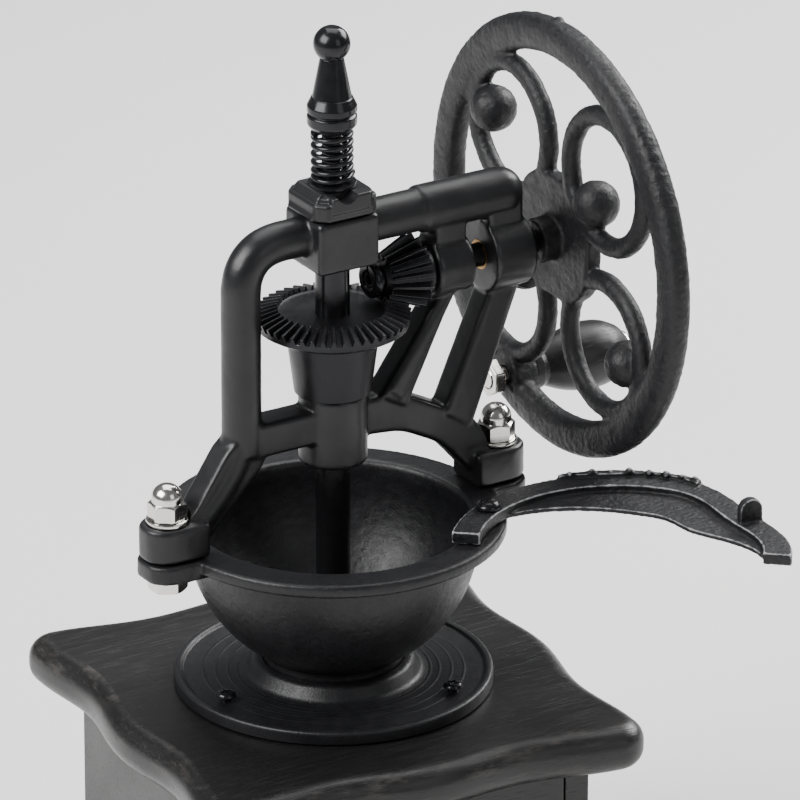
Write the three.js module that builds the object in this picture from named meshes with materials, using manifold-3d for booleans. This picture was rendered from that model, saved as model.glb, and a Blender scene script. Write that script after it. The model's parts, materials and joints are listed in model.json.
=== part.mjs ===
// Hand crank coffee grinder: a cast bridge and hopper on a wooden drawer box,
// driven by a flywheel through a pair of bevel gears.
// Millimetres, +Z up. Origin: centre of the box's underside. +X runs along the
// flywheel shaft, from the spindle to the wheel.
import * as THREE from 'three';
import { mergeVertices } from 'three/addons/utils/BufferGeometryUtils.js';
import Module from 'manifold-3d';

const wasm = await Module();
wasm.setup();

// ---- driving dimensions --------------------------------------------------
const GAP = 0.3;                      // space left between pieces that only touch
const FIT = 0.05;                     // radial clearance of a shaft or screw in its hole
const DEG = Math.PI / 180;

const BOX_TURN = -6 * DEG;            // the mill is screwed on a little askew to the box
const BOX_HALF = 55.5;                // half the width of the box's walls
const BOARD_HALF = BOX_HALF + 14;     // half the width of the wavy boards
const BOARD_WAVE = 3.5;               // depth of the hollows in a board's side
const BOARD_CORNER = 9;               // radius of a board's corner
const TOP_BOARD_T = 14;
const FOOT_BOARD_T = 12;
const BOX_H = 64;
const WALL_T = 8;
const DRAWER_W = 2 * BOX_HALF - 27;   // drawer opening
const DRAWER_H = 40;
const DRAWER_SILL = 8;                // rail left below the drawer opening
const TRAY_T = 3;
const TRAY_DEPTH = 2 * BOX_HALF - 21;

const DISC_R = 46.5;                  // round base plate on the top board
const DISC_H = 4;
const NECK_R = 20.5;                  // outside of the hopper's neck
const THROAT_R = 17;
const BOWL_R = 42.5;                  // outside radius of the hopper's round body
const BOWL_WALL = 3;
const FLANGE_R = BOWL_R + 7.8;
const FLANGE_T = 4;
const BOWL_LIFT = BOWL_R + 5.5;       // centre of the bowl's sphere above the top board
const EAR_X = BOWL_R + 12.9;          // clamping bolts, each side of the spindle
const EAR_END = 8;                    // how far an ear runs on past its bolt
const EAR_HALF_W = 8.5;
const FOOT_H = 10.5;                  // feet of the bridge
const FOOT_HALF_W = 7.5;

const GUARD_AT = -36.5 * DEG;         // pivot of the swinging bean guard on the flange
const GUARD_R = BOWL_R + 2.5;         // middle line of the guard's strip
const GUARD_HALF_W = 4.1;
const GUARD_T = 3.6;
const GUARD_TAIL = 24 * DEG;          // how far the strip runs on past its pivot
const GUARD_SPAN = 157 * DEG;
const GUARD_OPEN = 152 * DEG;         // how far the guard stands open
const FLAT_DEPTH = 5.5;               // its curve is flatter towards the end
const FLAT_ARC = [78 * DEG, 157 * DEG];
const WEB_T = 1.5;                    // thin web inside the guard's curve
const WEB_W = 14;
const WEB_ARC = [4 * DEG, 153 * DEG]; // where it runs, from the pivot
const LIP_W = 2;                      // raised lip on the guard's outer edge
const LIP_RISE = 1.8;
const LIP_ARC = [36 * DEG, 87 * DEG];
const LUG_AT = 124 * DEG;             // thumb lug, from the pivot
const LUG_R = 3.5;
const LUG_T = 3;

const WHEEL_X = EAR_X + 20;
const WHEEL_R = 66;
const SHAFT_LIFT = WHEEL_R + 4.8;     // flywheel shaft above the flange
const SHAFT_R = 3.5;
const SPINDLE_R = 5;
const ROD_R = 3;                      // threaded upper end of the spindle
const GEAR_TEETH = 45;
const PINION_TEETH = 16;
const GEAR_R = 22.5;                  // pitch radius at the gear's rim
const GEAR_FACE_IN = GEAR_R - 6.7;
const PINION_IN = GEAR_R - 5.5;       // start and end of the pinion's teeth along the shaft
const PINION_OUT = GEAR_R + 5.5;
const BUSH_WALL = 1;

const LEG_X = GEAR_R + 8;             // the bridge's round leg
const LEG_R = 5.8;
const BAR_R = 6.3;
const BAR_LIFT = 18.5;                // top bar above the flywheel shaft
const ELBOW_R = 14;
const SADDLE_HALF = 10;
const CAP_HALF = 10.4;
const CAP_T = 7;
const BOSS_A = [GEAR_R + 8.5, GEAR_R + 20.8, 9];// inner bearing boss: start, end, radius
const BOSS_B = [WHEEL_X - 26.1, WHEEL_X - 12.6, 11];
const LOW_BOSS_R = 10;
const LOW_BOSS_Z = [18, 39.5];        // lower spindle bearing, above the flange

const RIM_W = 11;
const RIM_T = 8;
const LOBE_AT = (WHEEL_R * 6) / 11;   // ring centres from the wheel's centre
const LOBE_R = (WHEEL_R * 13) / 44;
const LOBE_BAR = 3.1;
const BALL_R = 7;
const BALL_OFFSET = LOBE_R - 8.3;
const HUB_R = 6.5;
const CRANK_ORBIT = WHEEL_R - 8.5;
const CRANK_AT = -65 * DEG;
const CRANK_R = 10.5;
const CRANK_L = 34;
const CRANK_PIN_R = 3;

const SPRING_R = 5.4;
const SPRING_WIRE = 0.8;
const SPRING_TURNS = 6;
const SPRING_L = 15;

const BOLT_R = 3;                     // M6 clamping bolts
const NUT_FLATS = 10;

// ---- levels worked out from them -----------------------------------------
const BOARD_TOP = FOOT_BOARD_T + BOX_H + TOP_BOARD_T + 2 * GAP;
const BOWL_Z = BOARD_TOP + BOWL_LIFT;
const FLANGE_TOP = BOWL_Z + FLANGE_T;
const SHAFT_Z = FLANGE_TOP + SHAFT_LIFT;
const BAR_Z = SHAFT_Z + BAR_LIFT;
const SADDLE_TOP = BAR_Z + BAR_R;
const SADDLE_LOW = SADDLE_TOP - 16;
const CAP_LOW = SADDLE_TOP + GAP;
const CAP_TOP = CAP_LOW + CAP_T;
const LOW_BOSS = LOW_BOSS_Z.map((z) => FLANGE_TOP + z);
const RATIO = PINION_TEETH / GEAR_TEETH;
const CONE = Math.atan(RATIO); // half angle of the pinion's pitch cone

// ---- materials -----------------------------------------------------------
const paint = (name, color, roughness, metalness) => {
  const material = new THREE.MeshStandardMaterial({ color, roughness, metalness });
  material.name = name;
  return material;
};
const castIron = paint('black cast iron', 0x17181a, 0.55, 0.6);
const satinIron = paint('satin black iron', 0x1b1c1f, 0.4, 0.6);
const blackSteel = paint('blackened steel', 0x101113, 0.28, 0.8);
const gearSteel = paint('dark gear steel', 0x2a2b2e, 0.35, 0.8);
const bronze = paint('sintered bronze', 0x8a6a3c, 0.5, 0.8);
const nickel = paint('nickel plate', 0xc9c7c0, 0.18, 1);
const blackWood = paint('black stained wood', 0x141313, 0.45, 0);
const plainWood = paint('plain wood', 0x8a6844, 0.7, 0);
const steel = paint('bright steel', 0x9a9ca0, 0.3, 1);

// ---- solid helpers -------------------------------------------------------
// A closed geometry as a manifold-3d solid, whichever way its faces were wound.
function solid(geometry) {
  const bare = geometry.index ? geometry.toNonIndexed() : geometry.clone();
  bare.deleteAttribute('normal');
  bare.deleteAttribute('uv');
  const merged = mergeVertices(bare, 1e-4);
  const p = merged.attributes.position.array;
  const tris = [];
  let volume = 0;
  for (let i = 0; i < merged.index.count; i += 3) {
    const [a, b, c] = [0, 1, 2].map((k) => merged.index.array[i + k]);
    if (a === b || b === c || a === c) continue;
    tris.push(a, b, c);
    const [u, v, w] = [a, b, c].map((k) => new THREE.Vector3(p[3 * k], p[3 * k + 1], p[3 * k + 2]));
    volume += u.dot(v.cross(w));
  }
  if (volume < 0) {
    for (let i = 0; i < tris.length; i += 3) [tris[i], tris[i + 1]] = [tris[i + 1], tris[i]];
  }
  return new wasm.Manifold(new wasm.Mesh({
    numProp: 3,
    vertProperties: new Float32Array(p),
    triVerts: new Uint32Array(tris),
  }));
}

const join = (first, ...rest) => rest.reduce((sum, piece) => sum.add(piece), first);
const cut = (first, ...rest) => rest.reduce((left, piece) => left.subtract(piece), first);

// A solid turned about Z from [radius, height] points.
function turned(profile, sides = 24) {
  const points = profile.map(([r, z]) => new THREE.Vector2(r, z));
  return solid(new THREE.LatheGeometry(points, sides).rotateX(Math.PI / 2));
}

const rod = (r, low, high, sides = 24) => turned([[0, low], [r, low], [r, high], [0, high]], sides);
const hole = (r, low, high, sides = 24) => rod(r / Math.cos(Math.PI / sides), low, high, sides);
const sleeve = (inner, outer, low, high, sides = 24) => cut(
  rod(outer, low, high, sides),
  hole(inner, low - 1, high + 1, sides),
);

const alongX = (piece) => piece.rotate([0, 90, 0]);
const block = (x, y, z) => solid(new THREE.BoxGeometry(x[1] - x[0], y[1] - y[0], z[1] - z[0])
  .translate((x[0] + x[1]) / 2, (y[0] + y[1]) / 2, (z[0] + z[1]) / 2));
const ball = (r, x, y, z, sides = 10) => solid(new THREE.SphereGeometry(r, sides, sides / 2 + 2)
  .translate(x, y, z));

// An outline of [x, y] points raised from one height to another.
function plate(points, low, high, bevel = 0) {
  const shape = new THREE.Shape(points.map(([x, y]) => new THREE.Vector2(x, y)));
  const geometry = new THREE.ExtrudeGeometry(shape, {
    depth: high - low - 2 * bevel,
    bevelEnabled: bevel > 0,
    bevelThickness: bevel,
    bevelSize: bevel,
    bevelOffset: -bevel,
    bevelSegments: 2,
    steps: 1,
  });
  return solid(geometry.translate(0, 0, low + bevel));
}

// An outline of [x, z] points standing in the XZ plane, half to each side of it.
const upright = (points, thickness) => plate(points, -thickness / 2, thickness / 2)
  .rotate([90, 0, 0]);

// A round bar along a path.
function bar(path, r, steps, sides = 12) {
  const section = new THREE.Shape();
  section.absarc(0, 0, r, 0, 2 * Math.PI);
  return solid(new THREE.ExtrudeGeometry(section, {
    steps,
    curveSegments: sides / 2,
    extrudePath: path,
    bevelEnabled: false,
  }));
}

function mesh(name, piece, material) {
  const data = piece.getMesh();
  const geometry = new THREE.BufferGeometry();
  geometry.setAttribute('position', new THREE.BufferAttribute(data.vertProperties, 3));
  geometry.setIndex(new THREE.BufferAttribute(data.triVerts, 1));
  geometry.computeVertexNormals();
  const result = new THREE.Mesh(geometry, material);
  result.name = name;
  return result;
}

const place = (group, ...children) => {
  group.add(...children);
  return group;
};

// ---- wooden box ----------------------------------------------------------
// One side bulges at its middle and is hollow towards the corners.
function boardOutline() {
  const points = [];
  const reach = 1 - BOARD_CORNER / BOARD_HALF;
  for (let side = 0; side < 4; side += 1) {
    for (let step = -5; step <= 5; step += 1) {
      const t = (step / 5) * reach;
      const out = BOARD_HALF - BOARD_WAVE * Math.sin((Math.PI * t) / reach) ** 2;
      const along = t * BOARD_HALF;
      const a = side * 90 * DEG;
      points.push([
        out * Math.cos(a) - along * Math.sin(a),
        out * Math.sin(a) + along * Math.cos(a),
      ]);
    }
    const centre = BOARD_HALF - BOARD_CORNER;
    for (const turn of [30, 60]) {
      const a = (side * 90 + turn) * DEG;
      const c = (side * 90 + 45) * DEG;
      points.push([
        centre * Math.SQRT2 * Math.cos(c) + BOARD_CORNER * Math.cos(a),
        centre * Math.SQRT2 * Math.sin(c) + BOARD_CORNER * Math.sin(a),
      ]);
    }
  }
  return points;
}

function woodenBox() {
  const low = FOOT_BOARD_T + GAP;
  const high = low + BOX_H;
  const inner = BOX_HALF - WALL_T;
  const sill = low + DRAWER_SILL;
  const lintel = sill + DRAWER_H;
  const well = NECK_R - 1;
  const wide = [-BOX_HALF, BOX_HALF];
  const tall = [low, high];
  const box = place(
    new THREE.Group(),
    mesh('foot_board', plate(boardOutline(), 0, FOOT_BOARD_T, 4), blackWood),
    mesh('top_board', cut(
      plate(boardOutline(), high + GAP, BOARD_TOP, 5),
      hole(well, high - 1, BOARD_TOP + 1),
    ), blackWood),
    mesh('box_side_left', block([-BOX_HALF, -inner - GAP], wide, tall), blackWood),
    mesh('box_side_right', block([inner + GAP, BOX_HALF], wide, tall), blackWood),
    mesh('box_back', block([-inner, inner], [inner, BOX_HALF], tall), blackWood),
    mesh('box_front', cut(
      block([-inner, inner], [-BOX_HALF, -inner], tall),
      block([-DRAWER_W / 2, DRAWER_W / 2], [-BOX_HALF - 1, -inner + 1], [sill, lintel]),
    ), blackWood),
    ...drawer(sill, lintel),
  );
  box.rotation.z = BOX_TURN;
  return box;
}

function drawer(sill, lintel) {
  const slack = 0.5;
  const half = DRAWER_W / 2 - slack;
  const z = [sill + slack, lintel - slack];
  const face = [-BOX_HALF, -BOX_HALF + WALL_T];
  const depth = [face[1] + GAP, face[1] + TRAY_DEPTH];
  const middle = (z[0] + z[1]) / 2;
  const tray = cut(
    block([-half, half], depth, [z[0], z[1] - 3]),
    block(
      [-half + TRAY_T, half - TRAY_T],
      [depth[0] + TRAY_T, depth[1] - TRAY_T],
      [z[0] + TRAY_T, z[1]],
    ),
  );
  const screw = hole(2 + FIT, 0, 30, 16).rotate([90, 0, 0]).translate([0, depth[0] + 8, middle]);
  const knob = turned([
    [2 + FIT, 0], [5, 0], [5, 3], [3.6, 5], [4.4, 7], [7, 9.5], [8, 13], [7, 16.5], [4, 19], [0, 19.6],
    [0, 12], [2 + FIT, 12], [2 + FIT, 0],
  ], 20);
  const screwEnd = depth[0] + TRAY_T - face[0] + 11;
  const knobScrew = turned([
    [0, 0], [3.8, 0], [3.8, 2], [2, 2], [2, screwEnd], [0, screwEnd],
  ], 16);
  const forward = [90, 0, 0];
  return [
    mesh('drawer_front', cut(block([-half, half], face, z), screw), blackWood),
    mesh('drawer_tray', cut(tray, screw), plainWood),
    mesh('drawer_knob', knob.rotate(forward).translate([0, face[0] - GAP, middle]), blackWood),
    mesh('drawer_knob_screw', knobScrew.rotate(forward)
      .translate([0, depth[0] + TRAY_T + 2 + GAP, middle]), steel),
  ];
}

// ---- hopper --------------------------------------------------------------
function arc(r, centreZ, from, to, steps) {
  const points = [];
  for (let i = 0; i <= steps; i += 1) {
    const a = from + ((to - from) * i) / steps;
    points.push([r * Math.cos(a), centreZ + r * Math.sin(a)]);
  }
  return points;
}

function baseDisc() {
  const z = BOARD_TOP + GAP;
  const top = z + DISC_H;
  const bore = NECK_R + GAP;
  const ridges = [];
  for (const r of [40, 33]) ridges.push([r + 1.4, top - 0.6], [r, top + 0.4], [r - 1.4, top - 0.4]);
  const disc = turned([
    [bore, z], [DISC_R, z], [DISC_R, top - 1.2], [DISC_R - 1.2, top], [DISC_R - 3, top - 0.6],
    ...ridges, [26, top + 1], [bore + 1.5, top + 4], [bore, top + 4], [bore, z],
  ], 32);
  const screws = screwPlaces().map((place3) => hole(1.6, z - 1, top + 2, 12).translate(place3));
  return cut(disc, ...screws);
}

const screwPlaces = () => [-56, 64, 184].map((a) => [
  (DISC_R - 8.5) * Math.cos(a * DEG), (DISC_R - 8.5) * Math.sin(a * DEG), 0,
]);

function discScrews() {
  const top = BOARD_TOP + GAP + DISC_H + 0.3;
  const screw = turned([
    [0, top - DISC_H - 0.2], [1.5, top - DISC_H - 0.2], [1.5, top + GAP], [3, top + GAP],
    [2.6, top + 1.2], [1.4, top + 1.7], [0, top + 1.8],
  ], 12);
  return screwPlaces().map((at, i) => mesh(`disc_screw_${i + 1}`, screw.translate(at), blackSteel));
}

const earOutline = (from, halfW, end) => [
  [from, -halfW], [EAR_X + end - 4.5, -halfW], [EAR_X + end, -halfW + 3.5],
  [EAR_X + end, halfW - 3.5], [EAR_X + end - 4.5, halfW], [from, halfW],
];
const bothSides = (piece) => join(piece, piece.rotate([0, 0, 180]));

// The same fastener at the right and the left ear.
const eachSide = (name, piece, material) => [
  mesh(`${name}_right`, piece.translate([EAR_X, 0, 0]), material),
  mesh(`${name}_left`, piece.translate([-EAR_X, 0, 0]), material),
];

function hopper() {
  const low = BOARD_TOP + GAP;
  const inner = BOWL_R - BOWL_WALL;
  const start = -Math.acos(THROAT_R / inner);
  const neck = -Math.acos(NECK_R / BOWL_R);
  const body = turned([
    [THROAT_R, low],
    ...arc(inner, BOWL_Z, start, 0, 6),
    [inner + 2, FLANGE_TOP], [FLANGE_R, FLANGE_TOP], [FLANGE_R, BOWL_Z],
    ...arc(BOWL_R, BOWL_Z, 0, neck, 6),
    [NECK_R, low], [THROAT_R, low],
  ], 36);
  const ears = bothSides(plate(earOutline(BOWL_R + 2, EAR_HALF_W, EAR_END), BOWL_Z - 1.5, FLANGE_TOP));
  const bolt = hole(BOLT_R + FIT, BOWL_Z - 3, FLANGE_TOP + 1, 24).translate([EAR_X, 0, 0]);
  const [px, py] = guardPivot();
  const pivot = hole(2 + FIT, BOWL_Z - 3, FLANGE_TOP + 1, 16).translate([px, py, 0]);
  return cut(join(body, ears), bothSides(bolt), pivot);
}

function clampBolts() {
  const under = BOWL_Z - 1.5 - GAP;
  const top = FLANGE_TOP + GAP + FOOT_H + 8.5;
  const head = rod(NUT_FLATS / Math.sqrt(3), under - 4, under, 6);
  const shank = rod(BOLT_R, under - 0.5, top, 24);
  return eachSide('clamp_bolt', join(head, shank), nickel);
}

function clampNuts() {
  const z = FLANGE_TOP + FOOT_H + 2 * GAP + 1.2;
  const hex = rod(NUT_FLATS / Math.sqrt(3), z, z + 5, 6);
  const dome = turned([[0, z + 4], [4.6, z + 4], [4.6, z + 6.5], [3.6, z + 9], [0, z + 10.5]], 20);
  const bore = hole(BOLT_R + FIT, z - 1, z + 8.6, 24);
  return eachSide('clamp_nut', cut(join(hex, dome), bore), nickel);
}

function clampWashers() {
  const z = FLANGE_TOP + FOOT_H + 1.5 * GAP;
  return eachSide('clamp_washer', sleeve(BOLT_R + FIT, 6.2, z, z + 1.2, 24), nickel);
}

// ---- bean guard ----------------------------------------------------------
const onCircle = (r, a) => [r * Math.cos(a), r * Math.sin(a)];
const guardPivot = () => onCircle(GUARD_R, GUARD_AT);

// How far the strip stays inside its circle, at an angle from the pivot.
function flattened(a) {
  const share = (a - FLAT_ARC[0]) / (FLAT_ARC[1] - FLAT_ARC[0]);
  return share > 0 && share < 1 ? FLAT_DEPTH * Math.sin(Math.PI * share) ** 2 : 0;
}

// The outline between two edges; each gives its radius for a share of the arc.
function arcStrip([from, to], inner, outer, steps) {
  const out = [];
  const back = [];
  for (let i = 0; i <= steps; i += 1) {
    const share = i / steps;
    const a = from + (to - from) * share;
    out.push(onCircle(outer(share) - flattened(a), GUARD_AT - a));
    back.unshift(onCircle(inner(share) - flattened(a), GUARD_AT - a));
  }
  return [...out, ...back];
}

// The guard is drawn closed, round the spindle, and its group then turns it open.
function beanGuard() {
  const low = FLANGE_TOP + GAP;
  const top = low + GUARD_T;
  const rim = GUARD_R + GUARD_HALF_W;
  const edge = GUARD_R - GUARD_HALF_W;
  const [px, py] = guardPivot();
  const strip = arcStrip([-GUARD_TAIL, GUARD_SPAN], () => edge, () => rim, 28);
  const web = arcStrip(WEB_ARC, (share) => edge - WEB_W * Math.sin(Math.PI * share), () => edge + 1, 20);
  const lip = arcStrip(LIP_ARC, () => rim - LIP_W, () => rim, 10);
  const lugAngle = GUARD_AT - LUG_AT;
  const lug = upright(lugOutline(top), LUG_T)
    .translate([rim - LUG_R - flattened(LUG_AT), 0, 0])
    .rotate([0, 0, lugAngle / DEG]);
  const casting = cut(
    join(plate(strip, low, top), plate(web, low, low + WEB_T), plate(lip, top - 1, top + LIP_RISE), lug),
    hole(2 + FIT, low - 1, top + 1, 16).translate([px, py, 0]),
  );
  const group = place(
    new THREE.Group(),
    mesh('bean_guard', casting.translate([-px, -py, 0]), castIron),
  );
  group.position.set(px, py, 0);
  group.rotation.z = GUARD_OPEN;
  return group;
}

// Upright sides and a half round top, sunk a little into the strip.
function lugOutline(top) {
  const outline = [[-LUG_R, top - 1], [LUG_R, top - 1]];
  const steps = 8;
  for (let i = 0; i <= steps; i += 1) {
    const [x, z] = onCircle(LUG_R, (i * Math.PI) / steps);
    outline.push([x, top + LUG_R + z]);
  }
  return outline;
}

function guardScrew() {
  const [px, py] = guardPivot();
  const top = FLANGE_TOP + GAP + GUARD_T + GAP;
  return turned([
    [0, BOWL_Z - 1], [2, BOWL_Z - 1], [2, top], [3.7, top],
    [3.3, top + 1.4], [1.8, top + 2.2], [0, top + 2.4],
  ], 16).translate([px, py, 0]);
}

// ---- bridge --------------------------------------------------------------
function legPath() {
  const path = new THREE.CurvePath();
  const turn = BAR_Z - ELBOW_R;
  const at = (x, z) => new THREE.Vector3(x, 0, z);
  const corner = at(-LEG_X, BAR_Z);
  const bend = new THREE.QuadraticBezierCurve3(at(-LEG_X, turn), corner, at(-LEG_X + ELBOW_R, BAR_Z));
  path.add(new THREE.LineCurve3(at(-LEG_X, LOW_BOSS[0] + 8), at(-LEG_X, turn)));
  path.add(bend);
  path.add(new THREE.LineCurve3(at(-LEG_X + ELBOW_R, BAR_Z), at(0, BAR_Z)));
  return path;
}

function bossAlongX([from, to, r]) {
  return alongX(rod(r, from, to, 28)).translate([0, 0, SHAFT_Z]);
}

function bridge() {
  const foot = FLANGE_TOP + GAP;
  const footTop = foot + FOOT_H;
  const deck = LOW_BOSS[0] + 18;
  const under = SHAFT_Z - BOSS_A[2] + 4;
  const feet = bothSides(plate(earOutline(BOWL_R + 2.5, FOOT_HALF_W, EAR_END), foot, footTop, 1));
  const leftStrut = upright([
    [-LEG_X - LEG_R, deck - 4], [-LEG_X + LEG_R, deck], [-LEG_X + LEG_R, deck - 12],
    [-BOWL_R - 1, foot + 4], [-BOWL_R - 8, foot + 4], [-EAR_X + 3, footTop], [-EAR_X + 7, footTop + 3],
  ], 2 * LEG_R - 1);
  const crossbar = block([-LEG_X, 0], [-5, 5], [deck - 10.5, deck]);
  const web = upright([
    [0, deck - 11], [0, deck], [BOSS_A[0] - 10, deck - 1], [EAR_X - 17, deck - 10], [EAR_X - 9, deck - 15],
    [EAR_X - 2, footTop - 1], [BOWL_R + 3, foot + 3], [EAR_X - 21, deck - 20], [BOSS_A[0] - 10, deck - 13],
  ], 8);
  const ribIn = upright([
    [BOSS_A[0] - 17.6, deck - 1], [BOSS_A[0] - 8.5, deck - 6],
    [BOSS_A[1] - 3.3, under], [BOSS_A[0] + 4.5, under],
  ], 9.5);
  const ribOut = upright([
    [EAR_X - 20.5, deck - 11], [EAR_X - 11, deck - 17.5],
    [BOSS_B[1] - 1.3, under - 3], [BOSS_B[0] + 2.2, under - 3],
  ], 9.5);
  const top = join(
    alongX(rod(BAR_R, 0, BOSS_B[0] + 6.7, 16)).translate([0, 0, BAR_Z]),
    ball(BAR_R, BOSS_B[0] + 6.7, 0, BAR_Z, 16),
    block([BOSS_A[0] + 1, BOSS_A[1] - 1], [-5, 5], [SHAFT_Z, BAR_Z]),
    block([BOSS_B[0] + 0.5, BOSS_B[1] - 1.5], [-5.5, 5.5], [SHAFT_Z, BAR_Z]),
    block([-SADDLE_HALF, SADDLE_HALF], [-SADDLE_HALF, SADDLE_HALF], [SADDLE_LOW, SADDLE_TOP]),
  );
  const casting = join(
    feet,
    bar(legPath(), LEG_R, 18),
    leftStrut,
    crossbar,
    web,
    ribIn,
    ribOut,
    bossAlongX(BOSS_A),
    bossAlongX(BOSS_B),
    rod(LOW_BOSS_R, LOW_BOSS[0], LOW_BOSS[1], 32),
    top,
  );
  const bolts = bothSides(hole(BOLT_R + FIT, foot - 1, footTop + 4, 24).translate([EAR_X, 0, 0]));
  const nutSeats = bothSides(rod(6.8, footTop, footTop + 20, 24).translate([EAR_X, 0, 0]));
  const bushR = SHAFT_R + BUSH_WALL + FIT;
  return cut(
    casting,
    bolts,
    nutSeats,
    hole(SPINDLE_R + BUSH_WALL + FIT, LOW_BOSS[0] - 1, LOW_BOSS[1] + 1),
    hole(SPINDLE_R + BUSH_WALL + FIT, SADDLE_LOW - 1, SADDLE_TOP + 1),
    alongX(hole(bushR, BOSS_A[0] - 1, BOSS_A[1] + 1)).translate([0, 0, SHAFT_Z]),
    alongX(hole(bushR, BOSS_B[0] - 1, BOSS_B[1] + 1)).translate([0, 0, SHAFT_Z]),
  );
}

function saddleCap() {
  const half = CAP_HALF;
  const c = 3.2;
  const outline = [
    [half, -half + c], [half, half - c], [half - c, half], [-half + c, half],
    [-half, half - c], [-half, -half + c], [-half + c, -half], [half - c, -half],
  ];
  return cut(plate(outline, CAP_LOW, CAP_TOP, 2), hole(SPINDLE_R + 2 * FIT, CAP_LOW - 1, CAP_TOP + 1));
}

const spindleBush = (low, high) => sleeve(SPINDLE_R + FIT, SPINDLE_R + BUSH_WALL, low, high);
const shaftBush = ([from, to]) => alongX(sleeve(SHAFT_R + FIT, SHAFT_R + BUSH_WALL, from, to))
  .translate([0, 0, SHAFT_Z]);

// ---- bevel gears ---------------------------------------------------------
// One tooth's flanks run towards the point where the two axes meet. Its section
// is set out at the gear's rim and shrinks with the distance to that point.
const TOOTH_TIP = 0.9;
const TOOTH_ROOT = -1.15;
const TOOTH_FOOT = -1.7;
const TIP_HALF = 0.36;
const FOOT_HALF = 0.98;
const TOOTH_SECTION = [
  [TOOTH_FOOT, -FOOT_HALF],
  [TOOTH_FOOT, FOOT_HALF],
  [TOOTH_TIP, TIP_HALF],
  [TOOTH_TIP, -TIP_HALF],
];

function wedge(lengths, frame, unit) {
  const corners = [];
  for (const length of lengths) {
    const s = (length / unit) * (GEAR_R * 2 / GEAR_TEETH);
    const base = frame.along.clone().multiplyScalar(length);
    for (const [h, w] of TOOTH_SECTION) {
      corners.push(base.clone().addScaledVector(frame.out, h * s).addScaledVector(frame.side, w * s));
    }
  }
  const faces = [0, 1, 2, 0, 2, 3, 4, 6, 5, 4, 7, 6];
  for (let i = 0; i < 4; i += 1) {
    const j = (i + 1) % 4;
    faces.push(i, 4 + i, 4 + j, i, 4 + j, j);
  }
  const geometry = new THREE.BufferGeometry();
  geometry.setAttribute('position', new THREE.Float32BufferAttribute(corners.flatMap((v) => v.toArray()), 3));
  geometry.setIndex(faces);
  return solid(geometry);
}

// Teeth round Z, on a cone of the given half angle whose point is at the origin
// and which opens downwards.
function teeth(count, half, from, to, phase) {
  const unit = GEAR_R / Math.cos(CONE);
  const list = [];
  for (let i = 0; i < count; i += 1) {
    const a = phase + (i * 2 * Math.PI) / count;
    const [c, s] = [Math.cos(a), Math.sin(a)];
    list.push(wedge([from, to], {
      along: new THREE.Vector3(c * Math.sin(half), s * Math.sin(half), -Math.cos(half)),
      out: new THREE.Vector3(c * Math.cos(half), s * Math.cos(half), Math.sin(half)),
      side: new THREE.Vector3(-s, c, 0),
    }, unit));
  }
  return list;
}

function bevelGear() {
  const half = Math.PI / 2 - CONE;
  const unit = GEAR_R / Math.sin(half);
  const inner = GEAR_FACE_IN / Math.sin(half);
  const rootAt = (length) => {
    const h = TOOTH_ROOT * (length / unit);
    return [length * Math.sin(half) + h * Math.cos(half), -length * Math.cos(half) + h * Math.sin(half)];
  };
  const [rOut, zOut] = rootAt(unit);
  const [rIn, zIn] = rootAt(inner);
  const hub = LOW_BOSS[1] + GAP - SHAFT_Z;
  const blank = turned([
    [SPINDLE_R + FIT, hub], [11.2, hub], [13.6, zOut - 3.5], [rOut - 3, zOut - 3.2], [rOut, zOut - 1.4],
    [rOut, zOut], [rIn, zIn], [rIn - 1, zIn - 0.6], [SPINDLE_R + FIT, zIn - 0.6], [SPINDLE_R + FIT, hub],
  ], 45);
  return join(blank, ...teeth(GEAR_TEETH, half, inner, unit, 0)).translate([0, 0, SHAFT_Z]);
}

function pinion() {
  const from = PINION_IN / Math.cos(CONE);
  const to = PINION_OUT / Math.cos(CONE);
  const unit = GEAR_R / Math.cos(CONE);
  const rootR = (length) => length * Math.sin(CONE) + TOOTH_ROOT * (length / unit) * Math.cos(CONE);
  const depth = (length) => -length * Math.cos(CONE) + TOOTH_ROOT * (length / unit) * Math.sin(CONE);
  const bore = SHAFT_R + FIT;
  const blank = turned([
    [bore, depth(from) + 1.5], [rootR(from) - 0.8, depth(from) + 1.5], [rootR(from), depth(from)],
    [rootR(to), depth(to)], [rootR(to), -PINION_OUT - 1], [8, -BOSS_A[0] + 0.8], [bore, -BOSS_A[0] + 0.8],
    [bore, depth(from) + 1.5],
  ], 32);
  const phase = Math.PI / PINION_TEETH;
  const gear = join(blank, ...teeth(PINION_TEETH, CONE, from, to, phase));
  return gear.rotate([0, -90, 0]).translate([0, 0, SHAFT_Z]);
}

// ---- spindle and its adjuster --------------------------------------------
const BURR_LOW = BOARD_TOP + 2;
const SPINDLE_END = BOARD_TOP - 6;
const NUT_Z = CAP_TOP + 1.2 + 3 * GAP + SPRING_L;

function spindle() {
  return turned([
    [0, SPINDLE_END], [ROD_R, SPINDLE_END], [ROD_R, BURR_LOW - GAP], [SPINDLE_R, BURR_LOW - GAP],
    [SPINDLE_R, CAP_TOP - 1], [ROD_R, CAP_TOP], [ROD_R, NUT_Z + 20], [0, NUT_Z + 20],
  ]);
}

function innerBurr() {
  const z = BURR_LOW;
  const bore = SPINDLE_R + FIT;
  const cone = turned([
    [bore, z], [12.2, z], [12.2, z + 3], [10.5, z + 9],
    [8.2, z + 17], [7.4, z + 24], [bore, z + 25], [bore, z],
  ]);
  const grooves = [];
  for (let i = 0; i < 8; i += 1) {
    grooves.push(block([7.6, 14], [-0.7, 0.7], [z - 1, z + 20]).rotate([0, 8, 0]).translate([3.2, 0, 0])
      .rotate([0, 0, i * 45]));
  }
  return cut(cone, ...grooves);
}

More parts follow.
